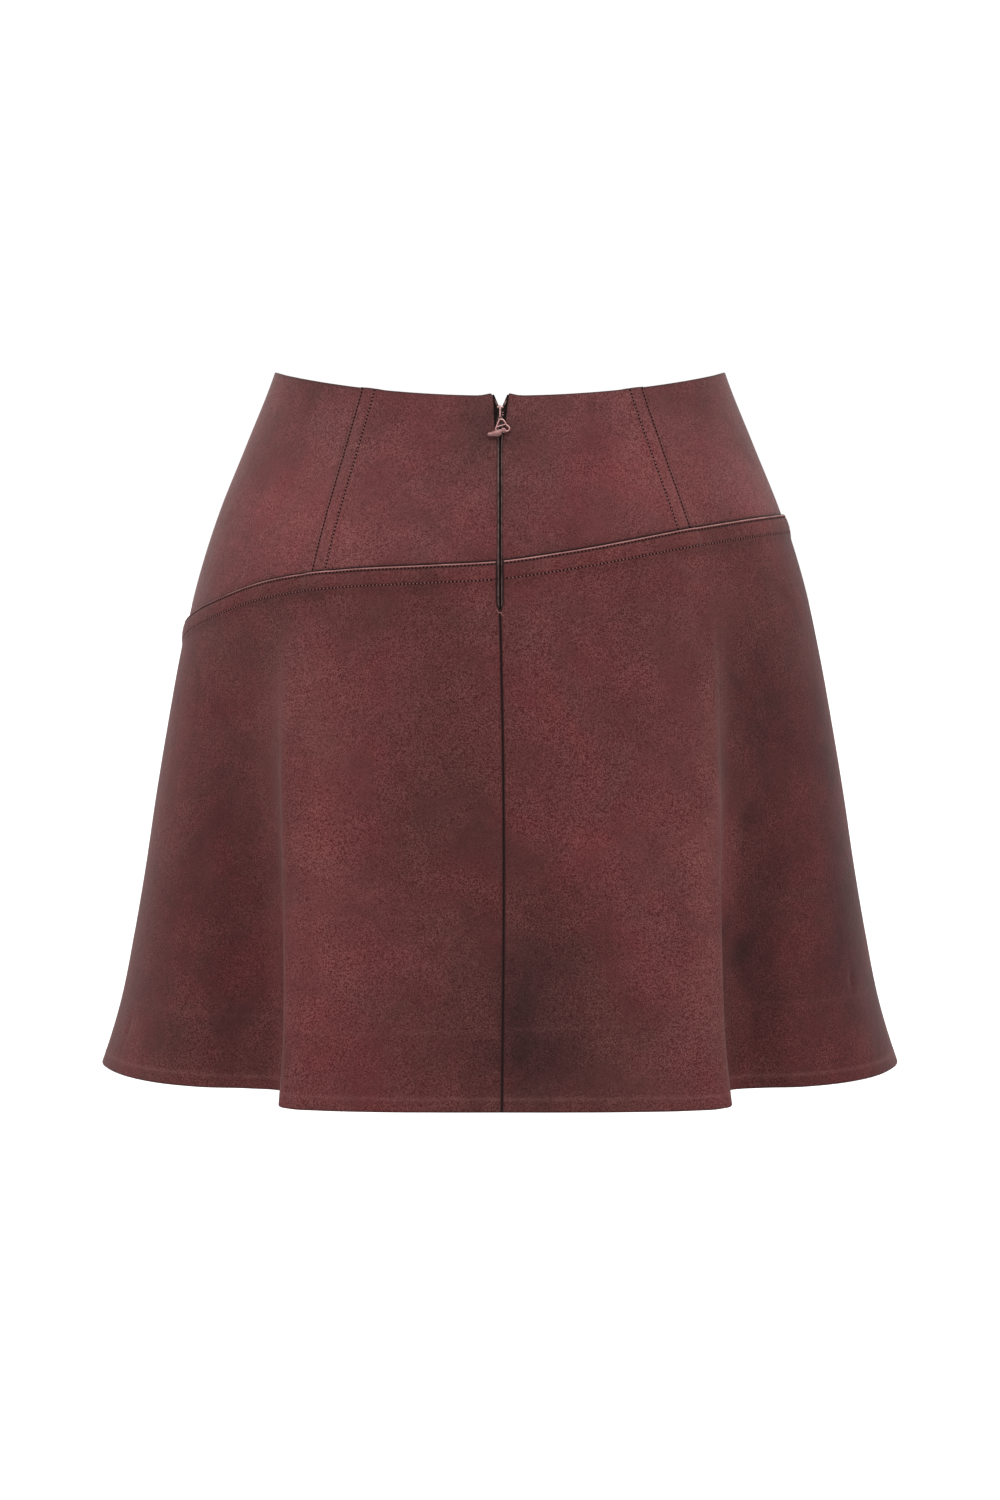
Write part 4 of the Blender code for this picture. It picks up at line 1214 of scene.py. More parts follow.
def skirt_raised(turn, height):
    """The outer face of the skirt above the form and its folds."""
    drop = seam_height(turn) - height
    below = below_band(drop)
    band_top = SEAM_GAP + BAND_CLOTH
    raised = band_top + (SKIRT_LIFT - band_top) * below
    raised = raised + lap_rise(turn, height, LAP_SHADOW) * (1.0 - below)
    raised = raised + stitched_relief(drop, BAND, signed_turn(turn) * 2.7, 3)
    return raised + seam_relief(turn, height) + hem_relief(turn, height) + crease_relief(turn, height)


def skirt_thickness(turn, height):
    """One layer in the field, more on the band, and two where the hem is turned up."""
    below = below_band(seam_height(turn) - height)
    allowance = hem_allowance(turn)
    single = smooth_step(height - HEM_HEIGHT, allowance, allowance + 1.2)
    return BAND_CLOTH + (CLOTH - BAND_CLOTH) * below + CLOTH * (1.0 - single)


print("hem turned up by", round(float(hem_allowance(0.0)), 1), "mm at the centre back")

# %% How the skirt's rows, columns and dye lie
BAND_DROPS = (
    0.0, 0.05, 0.18, 0.42, 0.72, 0.9, 1.06, 1.25, 1.44, 1.6, 1.9, 2.4, 3.1, 4.0, 5.0, 6.0, 6.9, 7.6, 8.1,
    8.6, 9.0, 9.25, 9.45, 9.6, 9.75, 9.95, 10.3, 10.9, 11.7, 12.8, 14.0,
)
HEM_RISES = (9.4, 8.4, 7.7, 7.0, 6.3, 5.6, 4.6, 3.4, 2.3, 1.5, 1.08, 0.62, 0.28, 0.08, 0.0)
HEM_STEPS = (2.2, 1.2, 0.7, 0.0, -1.2)        # from the turned-up edge
BAND_ROUND = 0.72      # the radius of the folded top edge
HEM_ROUND = 1.07       # and of the folded hem
SIDE_ROUND = 0.5
NEAR_SEAM = RIM + (0.8, 1.3, 2.0, 3.0)
SKIRT_FIELD = 240.0    # about the height between the band and the turned-up edge, shared out in rows
LOWER_ROWS = 15
HEM_BEND = 0.05        # radians of bend that cost as much as one step along the hem


def skirt_rows(step):
    """Rows from the folded top edge, past the turned-up allowance's own edge, to the hem."""
    band = [(1.0, 0.0, -drop) for drop in BAND_DROPS]
    turned = [(0.0, 1.0, HEM_HEIGHT + rise) for rise in HEM_STEPS]
    hem = [(0.0, 0.0, HEM_HEIGHT + rise) for rise in HEM_RISES]
    field = rows_between(band[-1], turned[0], int(SKIRT_FIELD / step))
    lower = rows_between(turned[-1], hem[0], LOWER_ROWS)
    return row_heights(band + field + turned + lower + hem, seam_height, hem_allowance)


def folded_drop(rows):
    """The rounding of the folded top edge and of the hem, row by row."""
    top = np.full(rows, FAR)
    top[: len(BAND_DROPS)] = BAND_DROPS
    foot = np.full(rows, FAR)
    foot[-len(HEM_RISES):] = HEM_RISES
    return np.maximum(rounding(top, BAND_ROUND), rounding(foot, HEM_ROUND))[:, None]


def hem_shares(first, last, length):
    """Shares of the way round a panel, a length apart at the hem and closer together where it bends."""
    turn = np.linspace(first, last, 2001)
    step = np.diff(surface(turn, HEM_HEIGHT)[:, :2], axis=0)
    heading = np.unwrap(np.arctan2(step[:, 1], step[:, 0]))
    cost = np.hypot(step[:, 0], step[:, 1]) / length + np.abs(np.gradient(heading)) / HEM_BEND
    reached = np.concatenate([[0.0], np.cumsum(cost)])
    even = np.interp(np.linspace(0.0, reached[-1], int(reached[-1]) + 1), reached, turn)
    return (even - even[0]) / (even[-1] - even[0])


def skirt_rub_and_highlight(turn, height):
    """Pale rubbed fibre with a painted highlight: the band's fold most, then the hem, then the print of the
    hem's two edges.
    """
    fold = seam_height(turn) - height
    up = height - HEM_HEIGHT
    around = signed_turn(turn)
    uneven = 0.12 * np.sin(around / 3.1) + 0.10 * np.sin(around / 1.3 + 2.0)
    lightened = 0.35 + 0.50 * smooth_step(around, -70.0, -25.0) + uneven * (np.abs(around) < 175.0)
    rub_and_highlight = lightened * streak(fold - 0.25, 0.50) + 0.07 * streak(up - HEM_RIDGE, 1.1)
    return rub_and_highlight + 0.02 * streak(up - hem_allowance(turn), 1.3)


def skirt_painted_shade(turn, height, inset):
    """Painted shade along the stitching, below the band, in the seams and at the hem's very edge."""
    fold = seam_height(turn) - height
    up = height - HEM_HEIGHT
    painted_shade = 0.95 * streak(fold - STITCH_IN - 0.2, 0.60) + 0.50 * streak(fold - BAND, 0.55)
    shade = plateau(fold, BAND, BAND + 1.0, BAND + 1.0, BAND + 9.0)
    return painted_shade + 0.16 * shade + 1.8 * streak(inset, 0.70) + 0.5 * streak(up, 0.8)


print("the band's rows crowd at", len(BAND_DROPS), "distances from its fold")

# %% The three panels of the skirt
for name, first, last, step in (
    ("skirt_back_left", side_edge(-90.0, 1), centre_edge(-1), 2.4),
    ("skirt_back_right", centre_edge(1), side_edge(90.0, -1), 2.4),
    ("skirt_front", side_edge(90.0, 1), side_edge(270.0, -1), 4.6),
):
    spaced = hem_shares(float(first(HEM_HEIGHT)), float(last(HEM_HEIGHT)), step)
    turn, height, inset = fitted_grid(skirt_rows(step), first, last, NEAR_SEAM, NEAR_SEAM, spaced)
    panels[name] = cloth_panel(
        name + "_leather",
        turn,
        height,
        skirt_raised(turn, height),
        skirt_thickness(turn, height),
        np.maximum(folded_drop(len(turn)), rounding(inset, SIDE_ROUND)),
        skirt_rub_and_highlight(turn, height),
        skirt_painted_shade(turn, height, inset),
        (SKIRT_LEATHER, BACKING),
        height - HEM_HEIGHT > hem_allowance(turn) + 0.6,
    )

# %% [markdown]
# ## Stitches
#
# A lockstitch in leather shows as a short bead of thread between two needle holes, every two millimetres.
# The holes are what the eye sees first, as a row of dark dots; each is a small cup painted near black, a
# painted shadow of the hole, that stands just above the cloth. One node tree walks along a path on the
# cloth at the stitch length, stands an instance on the surface, and gives each a little turn of its own, as
# a machine on a bulky edge does. It serves every row, once for the thread and once for the holes.

# %% A node tree for rows
ROW_INPUTS = (
    ("Geometry", "Geometry"),
    ("Instance", "Object"),
    ("Step", "Float"),
    ("Unevenness", "Float"),
    ("Seed", "Int"),
    ("Material", "Material"),
)
UNEVEN_TURN = (0.10, 0.10, 0.28)     # radians either way at an unevenness of 1


def row_tree():
    """Geometry Nodes: an instance at every step along a path, standing on the cloth."""
    tree = bpy.data.node_groups.new("row along a path", "GeometryNodeTree")
    tree.interface.new_socket("Geometry", in_out="OUTPUT", socket_type="NodeSocketGeometry")
    for name, kind in ROW_INPUTS:
        tree.interface.new_socket(name, in_out="INPUT", socket_type="NodeSocket" + kind)
    row = Graph(tree)
    add = row.add
    given = {socket.name: Value(row, socket) for socket in tree.nodes.new("NodeGroupInput").outputs}

    path = add("GeometryNodeMeshToCurve", Mesh=given["Geometry"])
    steps = add("GeometryNodeResampleCurve", {"mode": "LENGTH"}, Curve=path, Length=given["Step"])

    out = add("GeometryNodeInputNamedAttribute", {"data_type": "FLOAT_VECTOR"}, Name="out")
    ahead = add("GeometryNodeInputTangent")
    axes = {"primary_axis": "Z", "secondary_axis": "X"}
    upright = add("FunctionNodeAxesToRotation", axes, Primary_Axis=out, Secondary_Axis=ahead)

    scaled = {"operation": "SCALE"}
    uneven = given["Unevenness"]
    least = add("ShaderNodeVectorMath", scaled, Vector=tuple(-a for a in UNEVEN_TURN), Scale=uneven)
    most = add("ShaderNodeVectorMath", scaled, Vector=UNEVEN_TURN, Scale=uneven)
    vectors = {"data_type": "FLOAT_VECTOR"}
    chance = add("FunctionNodeRandomValue", vectors, Min=least, Max=most, Seed=given["Seed"])
    wobble = add("FunctionNodeEulerToRotation", Euler=chance)
    local = {"rotation_space": "LOCAL"}
    turned = add("FunctionNodeRotateRotation", local, Rotation=upright, Rotate_By=wobble)

    unmoved = {"transform_space": "ORIGINAL"}
    piece = add("GeometryNodeObjectInfo", unmoved, output="Geometry", Object=given["Instance"])
    standing = add("GeometryNodeInstanceOnPoints", Points=steps, Instance=piece, Rotation=turned)
    real = add("GeometryNodeRealizeInstances", Geometry=standing)
    painted = add("GeometryNodeSetMaterial", Geometry=real, Material=given["Material"])
    tree.links.new(painted.socket, tree.nodes.new("NodeGroupOutput").inputs["Geometry"])
    return tree


ROW_TREE = row_tree()
print("nodes in the row tree:", len(ROW_TREE.nodes))

# %% A row on the cloth
def socket_id(tree, name):
    """A tree's input is set by its socket's identifier, not by its name."""
    return next(item.identifier for item in tree.interface.items_tree if item.name == name)


def whole_steps(path, start, step):
    """The part of a path that begins at start and is a whole number of steps long."""
    points, outs = path
    along = np.concatenate([[0.0], np.cumsum(np.linalg.norm(np.diff(points, axis=0), axis=1))])
    end = start + (int((along[-1] - start) / step) + 0.001) * step
    at = np.concatenate([[start], along[(along > start) & (along < end)], [end]])
    x, y, z, *out = [np.interp(at, along, column) for column in (*points.T, *outs.T)]
    return np.stack([x, y, z], axis=1), np.stack(out, axis=1)


def row_on(name, paths, instance, step, start, unevenness, seed, material):
    """A plain mesh made by the row tree along paths, each a pair of points and outward vectors."""
    paths = [whole_steps(path, start, step) for path in paths]
    mesh = bpy.data.meshes.new(name + " path")
    points = np.concatenate([p for p, _ in paths]) * MM
    edges = []
    first = 0
    for path, _ in paths:
        edges += [(first + i, first + i + 1) for i in range(len(path) - 1)]
        first += len(path)
    mesh.from_pydata(points.tolist(), edges, [])
    layer = mesh.attributes.new("out", "FLOAT_VECTOR", "POINT")
    layer.data.foreach_set("vector", np.concatenate([n for _, n in paths]).astype(np.float32).ravel())

    holder = placed(name + " path", mesh)
    modifier = holder.modifiers.new("row", "NODES")
    modifier.node_group = ROW_TREE
    given = (instance, step * MM, unevenness, seed, material)
    for (key, _), value in zip(ROW_INPUTS[1:], given):
        modifier[socket_id(ROW_TREE, key)] = value
    made = bpy.data.meshes.new_from_object(holder.evaluated_get(bpy.context.evaluated_depsgraph_get()))
    holder.modifiers.remove(modifier)
    bpy.data.objects.remove(holder)
    made.name = name
    made.polygons.foreach_set("use_smooth", np.ones(len(made.polygons), dtype=bool))
    print(name, len(made.polygons), "faces")
    return placed(name, made)


print("inputs by identifier:", ", ".join(socket_id(ROW_TREE, name) for name, _ in ROW_INPUTS[1:]))

# %% One bead of thread and one needle hole's painted shadow
STITCH = 2.05
THREAD_RADIUS = 0.23
HOLE_RADIUS = 0.62
BEAD_SIDES = 8
HOLE_SIDES = 10
BEAD_FORM = (
    # along, thickness
    (-0.5, 0.4),
    (-0.4, 0.8),
    (-0.2, 1.0),
    (0.0, 1.06),
    (0.2, 1.0),
    (0.4, 0.8),
    (0.5, 0.4),
)
HOLE_FORM = (
    # share of the hole's radius, level
    (0.35, 0.10),
    (0.72, 0.15),
    (0.93, 0.13),
    (1.0, -0.12),
)


def template(name, points, faces):
    """An object that only the row tree uses, so it isn't in the scene."""
    mesh = bpy.data.meshes.new(name)
    mesh.from_pydata((np.asarray(points) * MM).tolist(), [], faces)
    return bpy.data.objects.new(name, mesh)


def circle(count):
    """Angles evenly round a circle, in radians."""
    return [k * 2 * math.pi / count for k in range(count)]


def ring_faces(rings, around, closed=False):
    """Faces between rings of points, with a cap at either end or, if closed, back to the first ring."""
    faces = []
    for r in range(rings if closed else rings - 1):
        here = r * around
        after = (r + 1) % rings * around
        for c in range(around):
            d = (c + 1) % around
            faces.append((here + c, here + d, after + d, after + c))
    if closed:
        return faces
    return faces + [tuple(range(around))[::-1], tuple((rings - 1) * around + c for c in range(around))]


def thread_bead():
    """A short arched thread whose two ends dive into their holes."""
    points = []
    for along, thick in BEAD_FORM:
        lift = 0.14 - 2.6 * along**4
        radius = THREAD_RADIUS * thick
        for a in circle(BEAD_SIDES):
            points.append((along, radius * 1.15 * math.cos(a), lift + radius * 0.9 * math.sin(a)))
    return template("thread bead", points, ring_faces(len(BEAD_FORM), BEAD_SIDES))


def hole_shadow_cup():
    """A small cup between two beads, painted dark as the shadow inside a needle hole."""
    points = []
    for share, level in HOLE_FORM:
        long = HOLE_RADIUS * share
        wide = HOLE_RADIUS * 0.85 * share
        for a in circle(HOLE_SIDES):
            points.append((long * math.cos(a), wide * math.sin(a), level))
    return template("needle hole", points, ring_faces(len(HOLE_FORM), HOLE_SIDES))


BEAD = thread_bead()
HOLE_SHADOW_CUP = hole_shadow_cup()
print("a bead has", len(BEAD.data.polygons), "faces, a hole", len(HOLE_SHADOW_CUP.data.polygons))

# %% The rows of stitches
def band_path(drop):
    """Along the skirt's folded edge, from one side of the zip round the front to the other."""
    turn = np.linspace(1.3, 358.7, 1200)
    height = seam_height(turn) - drop
    return cloth_point(turn, height, skirt_raised(turn, height)), outward(turn, height)


def lap_path(side, inside):
    """Beside a lapped edge, from the waist down to the skirt's band."""
    height = np.linspace(-1.2, -120.0, 160)
    turn = turn_beside(lap_turn(side, height), height, -side * inside)
    kept = (height < waist_height(turn) - 0.6) & (height > seam_height(turn) - 0.4)
    turn = turn[kept]
    height = height[kept]
    return cloth_point(turn, height, yoke_raised(turn, height, side)), outward(turn, height)


stitching = []
rows = (
    ("band_edge", [band_path(STITCH_IN)], 11, THREAD),
    ("band_second", [band_path(BAND)], 23, PALE_THREAD),
    ("lap_edge", [lap_path(-1, STITCH_IN), lap_path(1, STITCH_IN)], 31, THREAD),
    ("lap_second", [lap_path(-1, LAP), lap_path(1, LAP)], 47, PALE_THREAD),
)
for name, paths, seed, thread in rows:
    stitching.append(row_on(name + "_thread", paths, BEAD, STITCH, STITCH / 2, 1.0, seed, thread))
    stitching.append(row_on(name + "_holes", paths, HOLE_SHADOW_CUP, STITCH, 0.0, 0.4, seed, HOLE_SHADOW))

# %% [markdown]
# ## The zip
#
# A concealed zip turns its back to the outside: each tape is folded over its own coil, so that only two
# narrow rolls of tape show in the slot, nearly meeting. The slider runs behind them and reaches out between
# the rolls with a thin neck and a crown, which carries the pull. Above the slider the rolls part into the
# notch at the waist.

# %% The zip's tapes
SLIDER_TOP = WAIST_BACK - 5.4
PIVOT_HEIGHT = WAIST_BACK - 11.6
SLIDER_FOOT = WAIST_BACK - 13.2
SEAM_BACK = float(seam_height(0.0))
TAPE_WIDTH = 11.5
TAPE_CLOTH = 0.9
TAPE_TAIL = 14.0
TAPE_RISE = 0.5        # above the waist's edge, between its lips
TAPE_PARTED = 2.9
TAPE_MEETS = 6.3
TAPE_HALF_GAP = 0.60
TAPE_GAP = 1.00        # the dark line between the two rolls
TAPE_MEETING = 0.18    # which lies a little right of the slot's middle
TAPE_FLAT = -(CLOTH + SEAM_GAP)
ROLL_POINTS = 9        # round the roll, which is squarer than a half circle
ROLL_SQUARE = 0.6


def tape_fold(side, height, shut=None):
    """How far a tape's folded edge stands from the slot's middle. shut is how far below the slider."""
    drop = WAIST_BACK - height
    parted = TAPE_PARTED * np.clip(1.0 - (drop + TAPE_RISE) / (TAPE_MEETS + TAPE_RISE), 0.0, 1.0)
    held_open = smooth_step(height, SLIDER_FOOT - 3.4, SLIDER_FOOT - 1.4)
    if shut is None:
        shut = TAPE_GAP / 2 + side * TAPE_MEETING
    return shut + (TAPE_HALF_GAP - shut + parted) * held_open


def tape_crown(height):
    """How high the roll of tape stands in the slot, below the cloth's outer face above the band."""
    closed = smooth_step(height, ZIP_END, ZIP_END + SLOT_CLOSES)
    standing = -0.40 + 0.95 * smooth_step(SEAM_BACK - height, 0.0, 4.0)
    return TAPE_FLAT + (standing - TAPE_FLAT) * closed


def tape_piece(side, name):
    """A tape folded over its coil: the roll that shows in the slot, and the flat behind the panel."""
    upper = np.linspace(WAIST_BACK + TAPE_RISE, WAIST_BACK - 20.0, 42)
    lower = np.linspace(WAIST_BACK - 21.5, ZIP_END - TAPE_TAIL, 80)
    height = np.concatenate([upper, lower])
    fold = tape_fold(side, height)
    crown = tape_crown(height)
    width = np.clip(slot_edge(height) - 0.06 - fold, 0.3, 1.3)
    back = TAPE_FLAT - TAPE_CLOTH

    stations = [(fold, back), (fold, TAPE_FLAT)]
    for a in np.linspace(math.pi, 0.0, ROLL_POINTS):
        across = math.copysign(abs(math.cos(a)) ** ROLL_SQUARE, math.cos(a))
        sunk = 0.35 * (1.0 - abs(math.sin(a)) ** ROLL_SQUARE)
        stations.append((fold + width / 2 * (1.0 + across), crown - sunk))
    stations.append((fold + width, TAPE_FLAT + 0.12))
    for distance in (2.6, 5.0, 8.0, 10.8, TAPE_WIDTH):
        stations.append((np.maximum(fold + width + 0.3, distance), TAPE_FLAT))
    stations += [(TAPE_WIDTH, back), (5.0, back)]
    rings = []
    for distance, raised in stations:
        rings.append(cloth_point(beside_slot(side * distance, height), height, raised))
    points = np.stack(rings, axis=1)

    # painted highlight on the roll's crown, held off in the notch's shade, with a painted glint near the
    # waist
    shares = np.stack([(distance - fold) / width for distance, _ in stations], axis=1)
    crowned = np.arange(len(stations)) < 2 + ROLL_POINTS
    catching = crowned * np.interp(shares, (0.0, 0.2, 0.9, 1.0), (0.0, 1.0, 1.0, 0.3))
    below = WAIST_BACK - height
    closed = smooth_step(below, 11.0, 16.0)
    touched = catching * (closed + 1.6 * streak(below - 3.9, 1.2))[:, None]
    faces = ring_faces(len(height), len(stations))
    if side > 0:
        faces = [face[::-1] for face in faces]
    return finished_object(name, points.reshape(-1, 3), faces, (TAPE,), touched=touched.reshape(-1))


tapes = {word: tape_piece(side, "zip_tape_" + word + "_cloth") for side, word in ((-1, "left"), (1, "right"))}
print("tape points", [len(piece.data.vertices) for piece in tapes.values()])

# %% The zip's coil
COIL_STEP = 0.95
COIL_HOOP = (0.55, 0.42)     # half the hoop's width and height
COIL_WIRE = 0.17
HOOP_STEPS = 14
COIL_SIDES = 6


def coil_turn():
    """One turn of the plastic coil, a flat hoop round the tape's edge."""
    points = []
    for a in circle(HOOP_STEPS):
        middle = np.array((0.0, COIL_HOOP[0] * math.cos(a), COIL_HOOP[1] * math.sin(a)))
        out = np.array((0.0, math.cos(a), math.sin(a)))
        for b in circle(COIL_SIDES):
            points.append(middle + COIL_WIRE * (math.cos(b) * out + math.sin(b) * np.array((1.0, 0.0, 0.0))))
    quads = np.array(ring_faces(HOOP_STEPS, COIL_SIDES, True))
    return template("coil turn", points, quads[:, (0, 3, 2, 1)].tolist())


def coil_path(side):
    """Along the tape's hidden edge, behind the roll."""
    height = np.linspace(WAIST_BACK - 3.0, ZIP_END + 1.0, 300)
    away = tape_fold(side, height, 0.0) + 0.45
    turn = beside_slot(side * away, height)
    return cloth_point(turn, height, TAPE_FLAT - TAPE_CLOTH - 0.35), outward(turn, height)


coil = row_on("zip_coil", [coil_path(-1), coil_path(1)], coil_turn(), COIL_STEP, 0.0, 0.15, 5, COIL)

# %% [markdown]
# ## Wires and small cast pieces
#
# The coil is wound on a cord, a small bar of thread closes the slot, and the pull is bent wire and cast
# metal. Two helpers serve them all: a wire is a ring of points carried along a path, and a blob is a
# rounded solid that can be anything from an ellipsoid to nearly a box.

# %% Wires and blobs
UPWARDS = (0.0, 0.0, 1.0)


def wire(path, out, radius, around=10, closed=False):
    """Points and faces of a round wire along a path. out says which way is up all along it."""
    path = np.asarray(path, float)
    ahead = np.roll(path, -1, axis=0) - np.roll(path, 1, axis=0)
    if not closed:
        ahead[0] = path[1] - path[0]
        ahead[-1] = path[-1] - path[-2]
    ahead = ahead / np.linalg.norm(ahead, axis=1, keepdims=True)
    across = np.cross(ahead, np.broadcast_to(out, path.shape))
    across = across / np.linalg.norm(across, axis=1, keepdims=True)
    up = np.cross(across, ahead)
    radius = np.broadcast_to(radius, len(path))[:, None, None]
    angle = np.array(circle(around))[:, None]
    ring = np.cos(angle) * up[:, None] + np.sin(angle) * across[:, None]
    return (path[:, None] + radius * ring).reshape(-1, 3), ring_faces(len(path), around, closed)


def blob(middle, radii, power=2.0, around=16, high=10):
    """Points and faces of a rounded solid, an ellipsoid at power 2 and nearly a box at a high power."""

    def bent(value):
        return np.sign(value) * np.abs(value) ** (2.0 / power)

    rise = np.radians(np.linspace(-88.0, 88.0, high))[:, None]
    angle = np.array(circle(around))[None, :]
    out = bent(np.cos(rise))
    level = np.broadcast_to(bent(np.sin(rise)), (high, around))
    points = np.stack([out * bent(np.cos(angle)), out * bent(np.sin(angle)), level], -1)
    return points.reshape(-1, 3) * np.array(radii) + np.array(middle), ring_faces(high, around)


def gathered(parts):
    """One list of points and one of faces from several of each."""
    faces = []
    count = 0
    for points, some in parts:
        faces += [tuple(i + count for i in face) for face in some]
        count += len(points)
    return np.concatenate([points for points, _ in parts]), faces


def smooth_curve(points, count, closed=False):
    """A smooth curve through a few points."""
    points = np.asarray(points, float)
    places = np.arange(len(points))
    at = np.linspace(0, len(points) - 1, count)
    if closed:
        at = np.linspace(0, len(points), count, endpoint=False)
        places = np.arange(-3, len(points) + 3)
        points = np.concatenate([points[-3:], points, points[:3]])
    return np.stack([through(places, points[:, k], at) for k in range(points.shape[1])], axis=1)


print("a wire of 2 rings has", len(ring_faces(2, 10)), "faces with its caps")

# %% The coil's cords and the bar of thread
core = [wire(path, out, 0.42, 8) for path, out in (coil_path(-1), coil_path(1))]
coil_core = finished_object("zip_coil_core", *gathered(core), (COIL,))

BAR_TACK = (
    # across from the middle, height above the slot's end: three threads that cross the end of the slot
    ((-1.9, 1.0), (-1.2, -0.2), (-0.7, -1.5)),
    ((0.1, -0.9), (1.0, -1.9), (2.2, -2.9)),
    ((-0.9, -0.6), (0.2, -0.8), (1.1, -0.7)),
)
TACK_POINTS = 12


def tack_path(points):
    """An arched thread on the cloth below the zip."""
    plan = smooth_curve(points, TACK_POINTS)
    height = ZIP_END + plan[:, 1]
    turn = beside_slot(plan[:, 0], height)
    arch = 0.30 * np.sin(np.linspace(0.25, math.pi - 0.25, TACK_POINTS))
    return cloth_point(turn, height, skirt_raised(turn, height) + arch), outward(turn, height)


taper = np.interp(np.arange(TACK_POINTS), (0, 2, 9, 11), (0.16, 0.25, 0.25, 0.16))
threads = [wire(*tack_path(row), taper) for row in BAR_TACK]
bar_tack = finished_object("zip_bar_tack", *gathered(threads), (PALE_THREAD,))
print("bar tack", len(bar_tack.data.polygons), "faces; coil cores", len(coil_core.data.polygons), "faces")

# %% [markdown]
# ## The slider and its pull
#
# The slider is cast: a plate behind the tapes, a thin neck and an arched crown, with two round shoulders
# that show in the notch. A bent wire link with a crossbar hangs in the crown, and a drop hangs by its
# forked head on a pin through the link's eye. All of it is enamelled. Its faces that look out and up are
# painted pale as a highlight and the rest darker as shade, with the link's top dark in the notch's shade.
# Each piece keeps the size and the joint of the solid that it stands for, and lies in the pull's own plane:
# across, along the cloth and out.

# %% Sizes of the slider and its pull
PULL_OUT = 1.75        # the pull's plane above the cloth
LINK_WIRE = 0.46
EYE = 1.15             # radius of the link's eye, at the middle of its wire
PIN_PLACE = (1.9, -8.0)
LINK_LOOP = (
    # across, along: from the loop's top down the right, and back up the left
    (-0.30, -2.15),
    (0.70, -1.85),
    (1.80, -2.25),
    (2.70, -3.50),
    (3.50, -4.90),
    (4.70, -6.00),
    (5.15, -7.10),
    (4.40, -8.30),
    (2.90, -8.40),
    (0.40, -7.90),
    (-1.60, -8.10),
    (-2.25, -7.30),
    (-1.80, -5.70),
    (-1.10, -3.90),
)
LINK_TOP = (
    # across, along: the small ring that hangs in the crown
    (-0.75, 0.0),
    (0.0, 0.25),
    (0.75, 0.0),
    (1.0, -0.9),
    (0.9, -2.0),
    (0.1, -2.2),
    (-0.6, -2.0),
    (-0.9, -0.9),
)
CROSSBAR = ((-1.75, -6.1), (0.3, -5.5), (3.0, -4.6))
CROWN = (
    # along, out: a strap from the slot's depth over the link's bar and back
    (6.2, -2.4),
    (6.5, 0.1),
    (5.9, 1.15),
    (4.4, 1.60),
    (2.0, 1.85),
    (0.5, 2.35),
    (-0.7, 2.30),
    (-1.3, 1.2),
    (-1.3, -2.4),
)
DROP_PROFILE = (
    # across and along from the pin, radius
    (-1.35, -0.75, 0.90),
    (-1.65, -0.95, 1.45),
    (-2.30, -1.30, 1.85),
    (-3.30, -1.65, 2.05),
    (-4.60, -1.95, 1.85),
    (-5.90, -2.15, 1.45),
    (-7.10, -2.25, 1.18),
    (-8.00, -2.30, 1.12),
    (-8.50, -2.32, 0.80),
    (-8.75, -2.33, 0.15),
)

print("the link has", len(LINK_LOOP), "bends, the drop", len(DROP_PROFILE), "stations")

# %% Metal in the pull's plane
pull_out = outward(0.0, PIVOT_HEIGHT)
pull_across = np.array((1.0, 0.0, 0.0))
pull_along = np.cross(pull_out, pull_across)
pull_middle = surface(0.0, PIVOT_HEIGHT)


def touched_metal(name, parts, highlight_amount, kept_dark=-FAR):
    """A finished metal piece from parts in the pull's plane. Its faces that look out and up carry a painted
    highlight, and the rest are painted darker as shade.

    The part that is less than kept_dark below the pull's pivot gets no painted highlight, as it lies in the
    notch's shade.
    """
    points, faces = gathered(parts)
    highlight_amount = highlight_amount * smooth_step(-points[:, 1], kept_dark - 0.6, kept_dark)
    axes = np.stack([pull_across, pull_along, pull_out])
    piece = finished_object(name, points @ axes + pull_middle, faces, (METAL,))
    normals = np.zeros(len(points) * 3)
    piece.data.vertex_normals.foreach_get("vector", normals)
    # painted highlight: on faces that look out, and more on those that also look up towards the lamps above
    facing = np.clip(normals.reshape(-1, 3) @ pull_out, 0.0, 1.0)
    tilted = np.clip(normals.reshape(-1, 3) @ (0.8 * pull_out + 0.6 * pull_along), 0.0, 1.0)
    layer = piece.data.attributes.new("touched", "FLOAT", "POINT")
    layer.data.foreach_set("value", (highlight_amount * (0.35 * facing + 0.65 * tilted**1.5)).astype(np.float32))
    print(name, len(piece.data.polygons), "faces")
    return piece


def in_plane(points, out=PULL_OUT):
    """Points across and along, set out in the pull's plane."""
    points = np.asarray(points, float)
    return np.column_stack([points, np.full(len(points), out)])


def flattened(points, level, share):
    """Points pressed towards a level above the cloth."""
    return points * (1.0, 1.0, share) + (0.0, 0.0, level * (1.0 - share))


print("the pull's plane leans back by", round(math.degrees(math.asin(pull_out[2])), 1), "degrees")

# %% The slider, the link and the drop
def zip_slider():
    """The strap of the crown, the plate behind the tapes, two shoulders and two small bosses on the neck."""
    strap = smooth_curve(CROWN, 40)
    crown = wire(np.column_stack([np.zeros(len(strap)), strap]), pull_across, 0.38, 12)
    behind = -(CLOTH + SEAM_GAP + TAPE_CLOTH + SEAM_GAP)
    plate = blob((0.0, 2.4, behind - 0.85), (2.7, 4.7, 0.85), 5.0, 32, 14)
    shoulders = [blob((0.15 + side * 1.25, 5.5, -0.6), (0.66, 0.80, 0.9)) for side in (-1, 1)]
    bosses = [blob((1.5, along, -0.5), (0.36, 0.42, 0.40)) for along in (2.6, 1.2)]
    return touched_metal("zip_slider_enamel", [crown, plate, *shoulders, *bosses], 1.0)


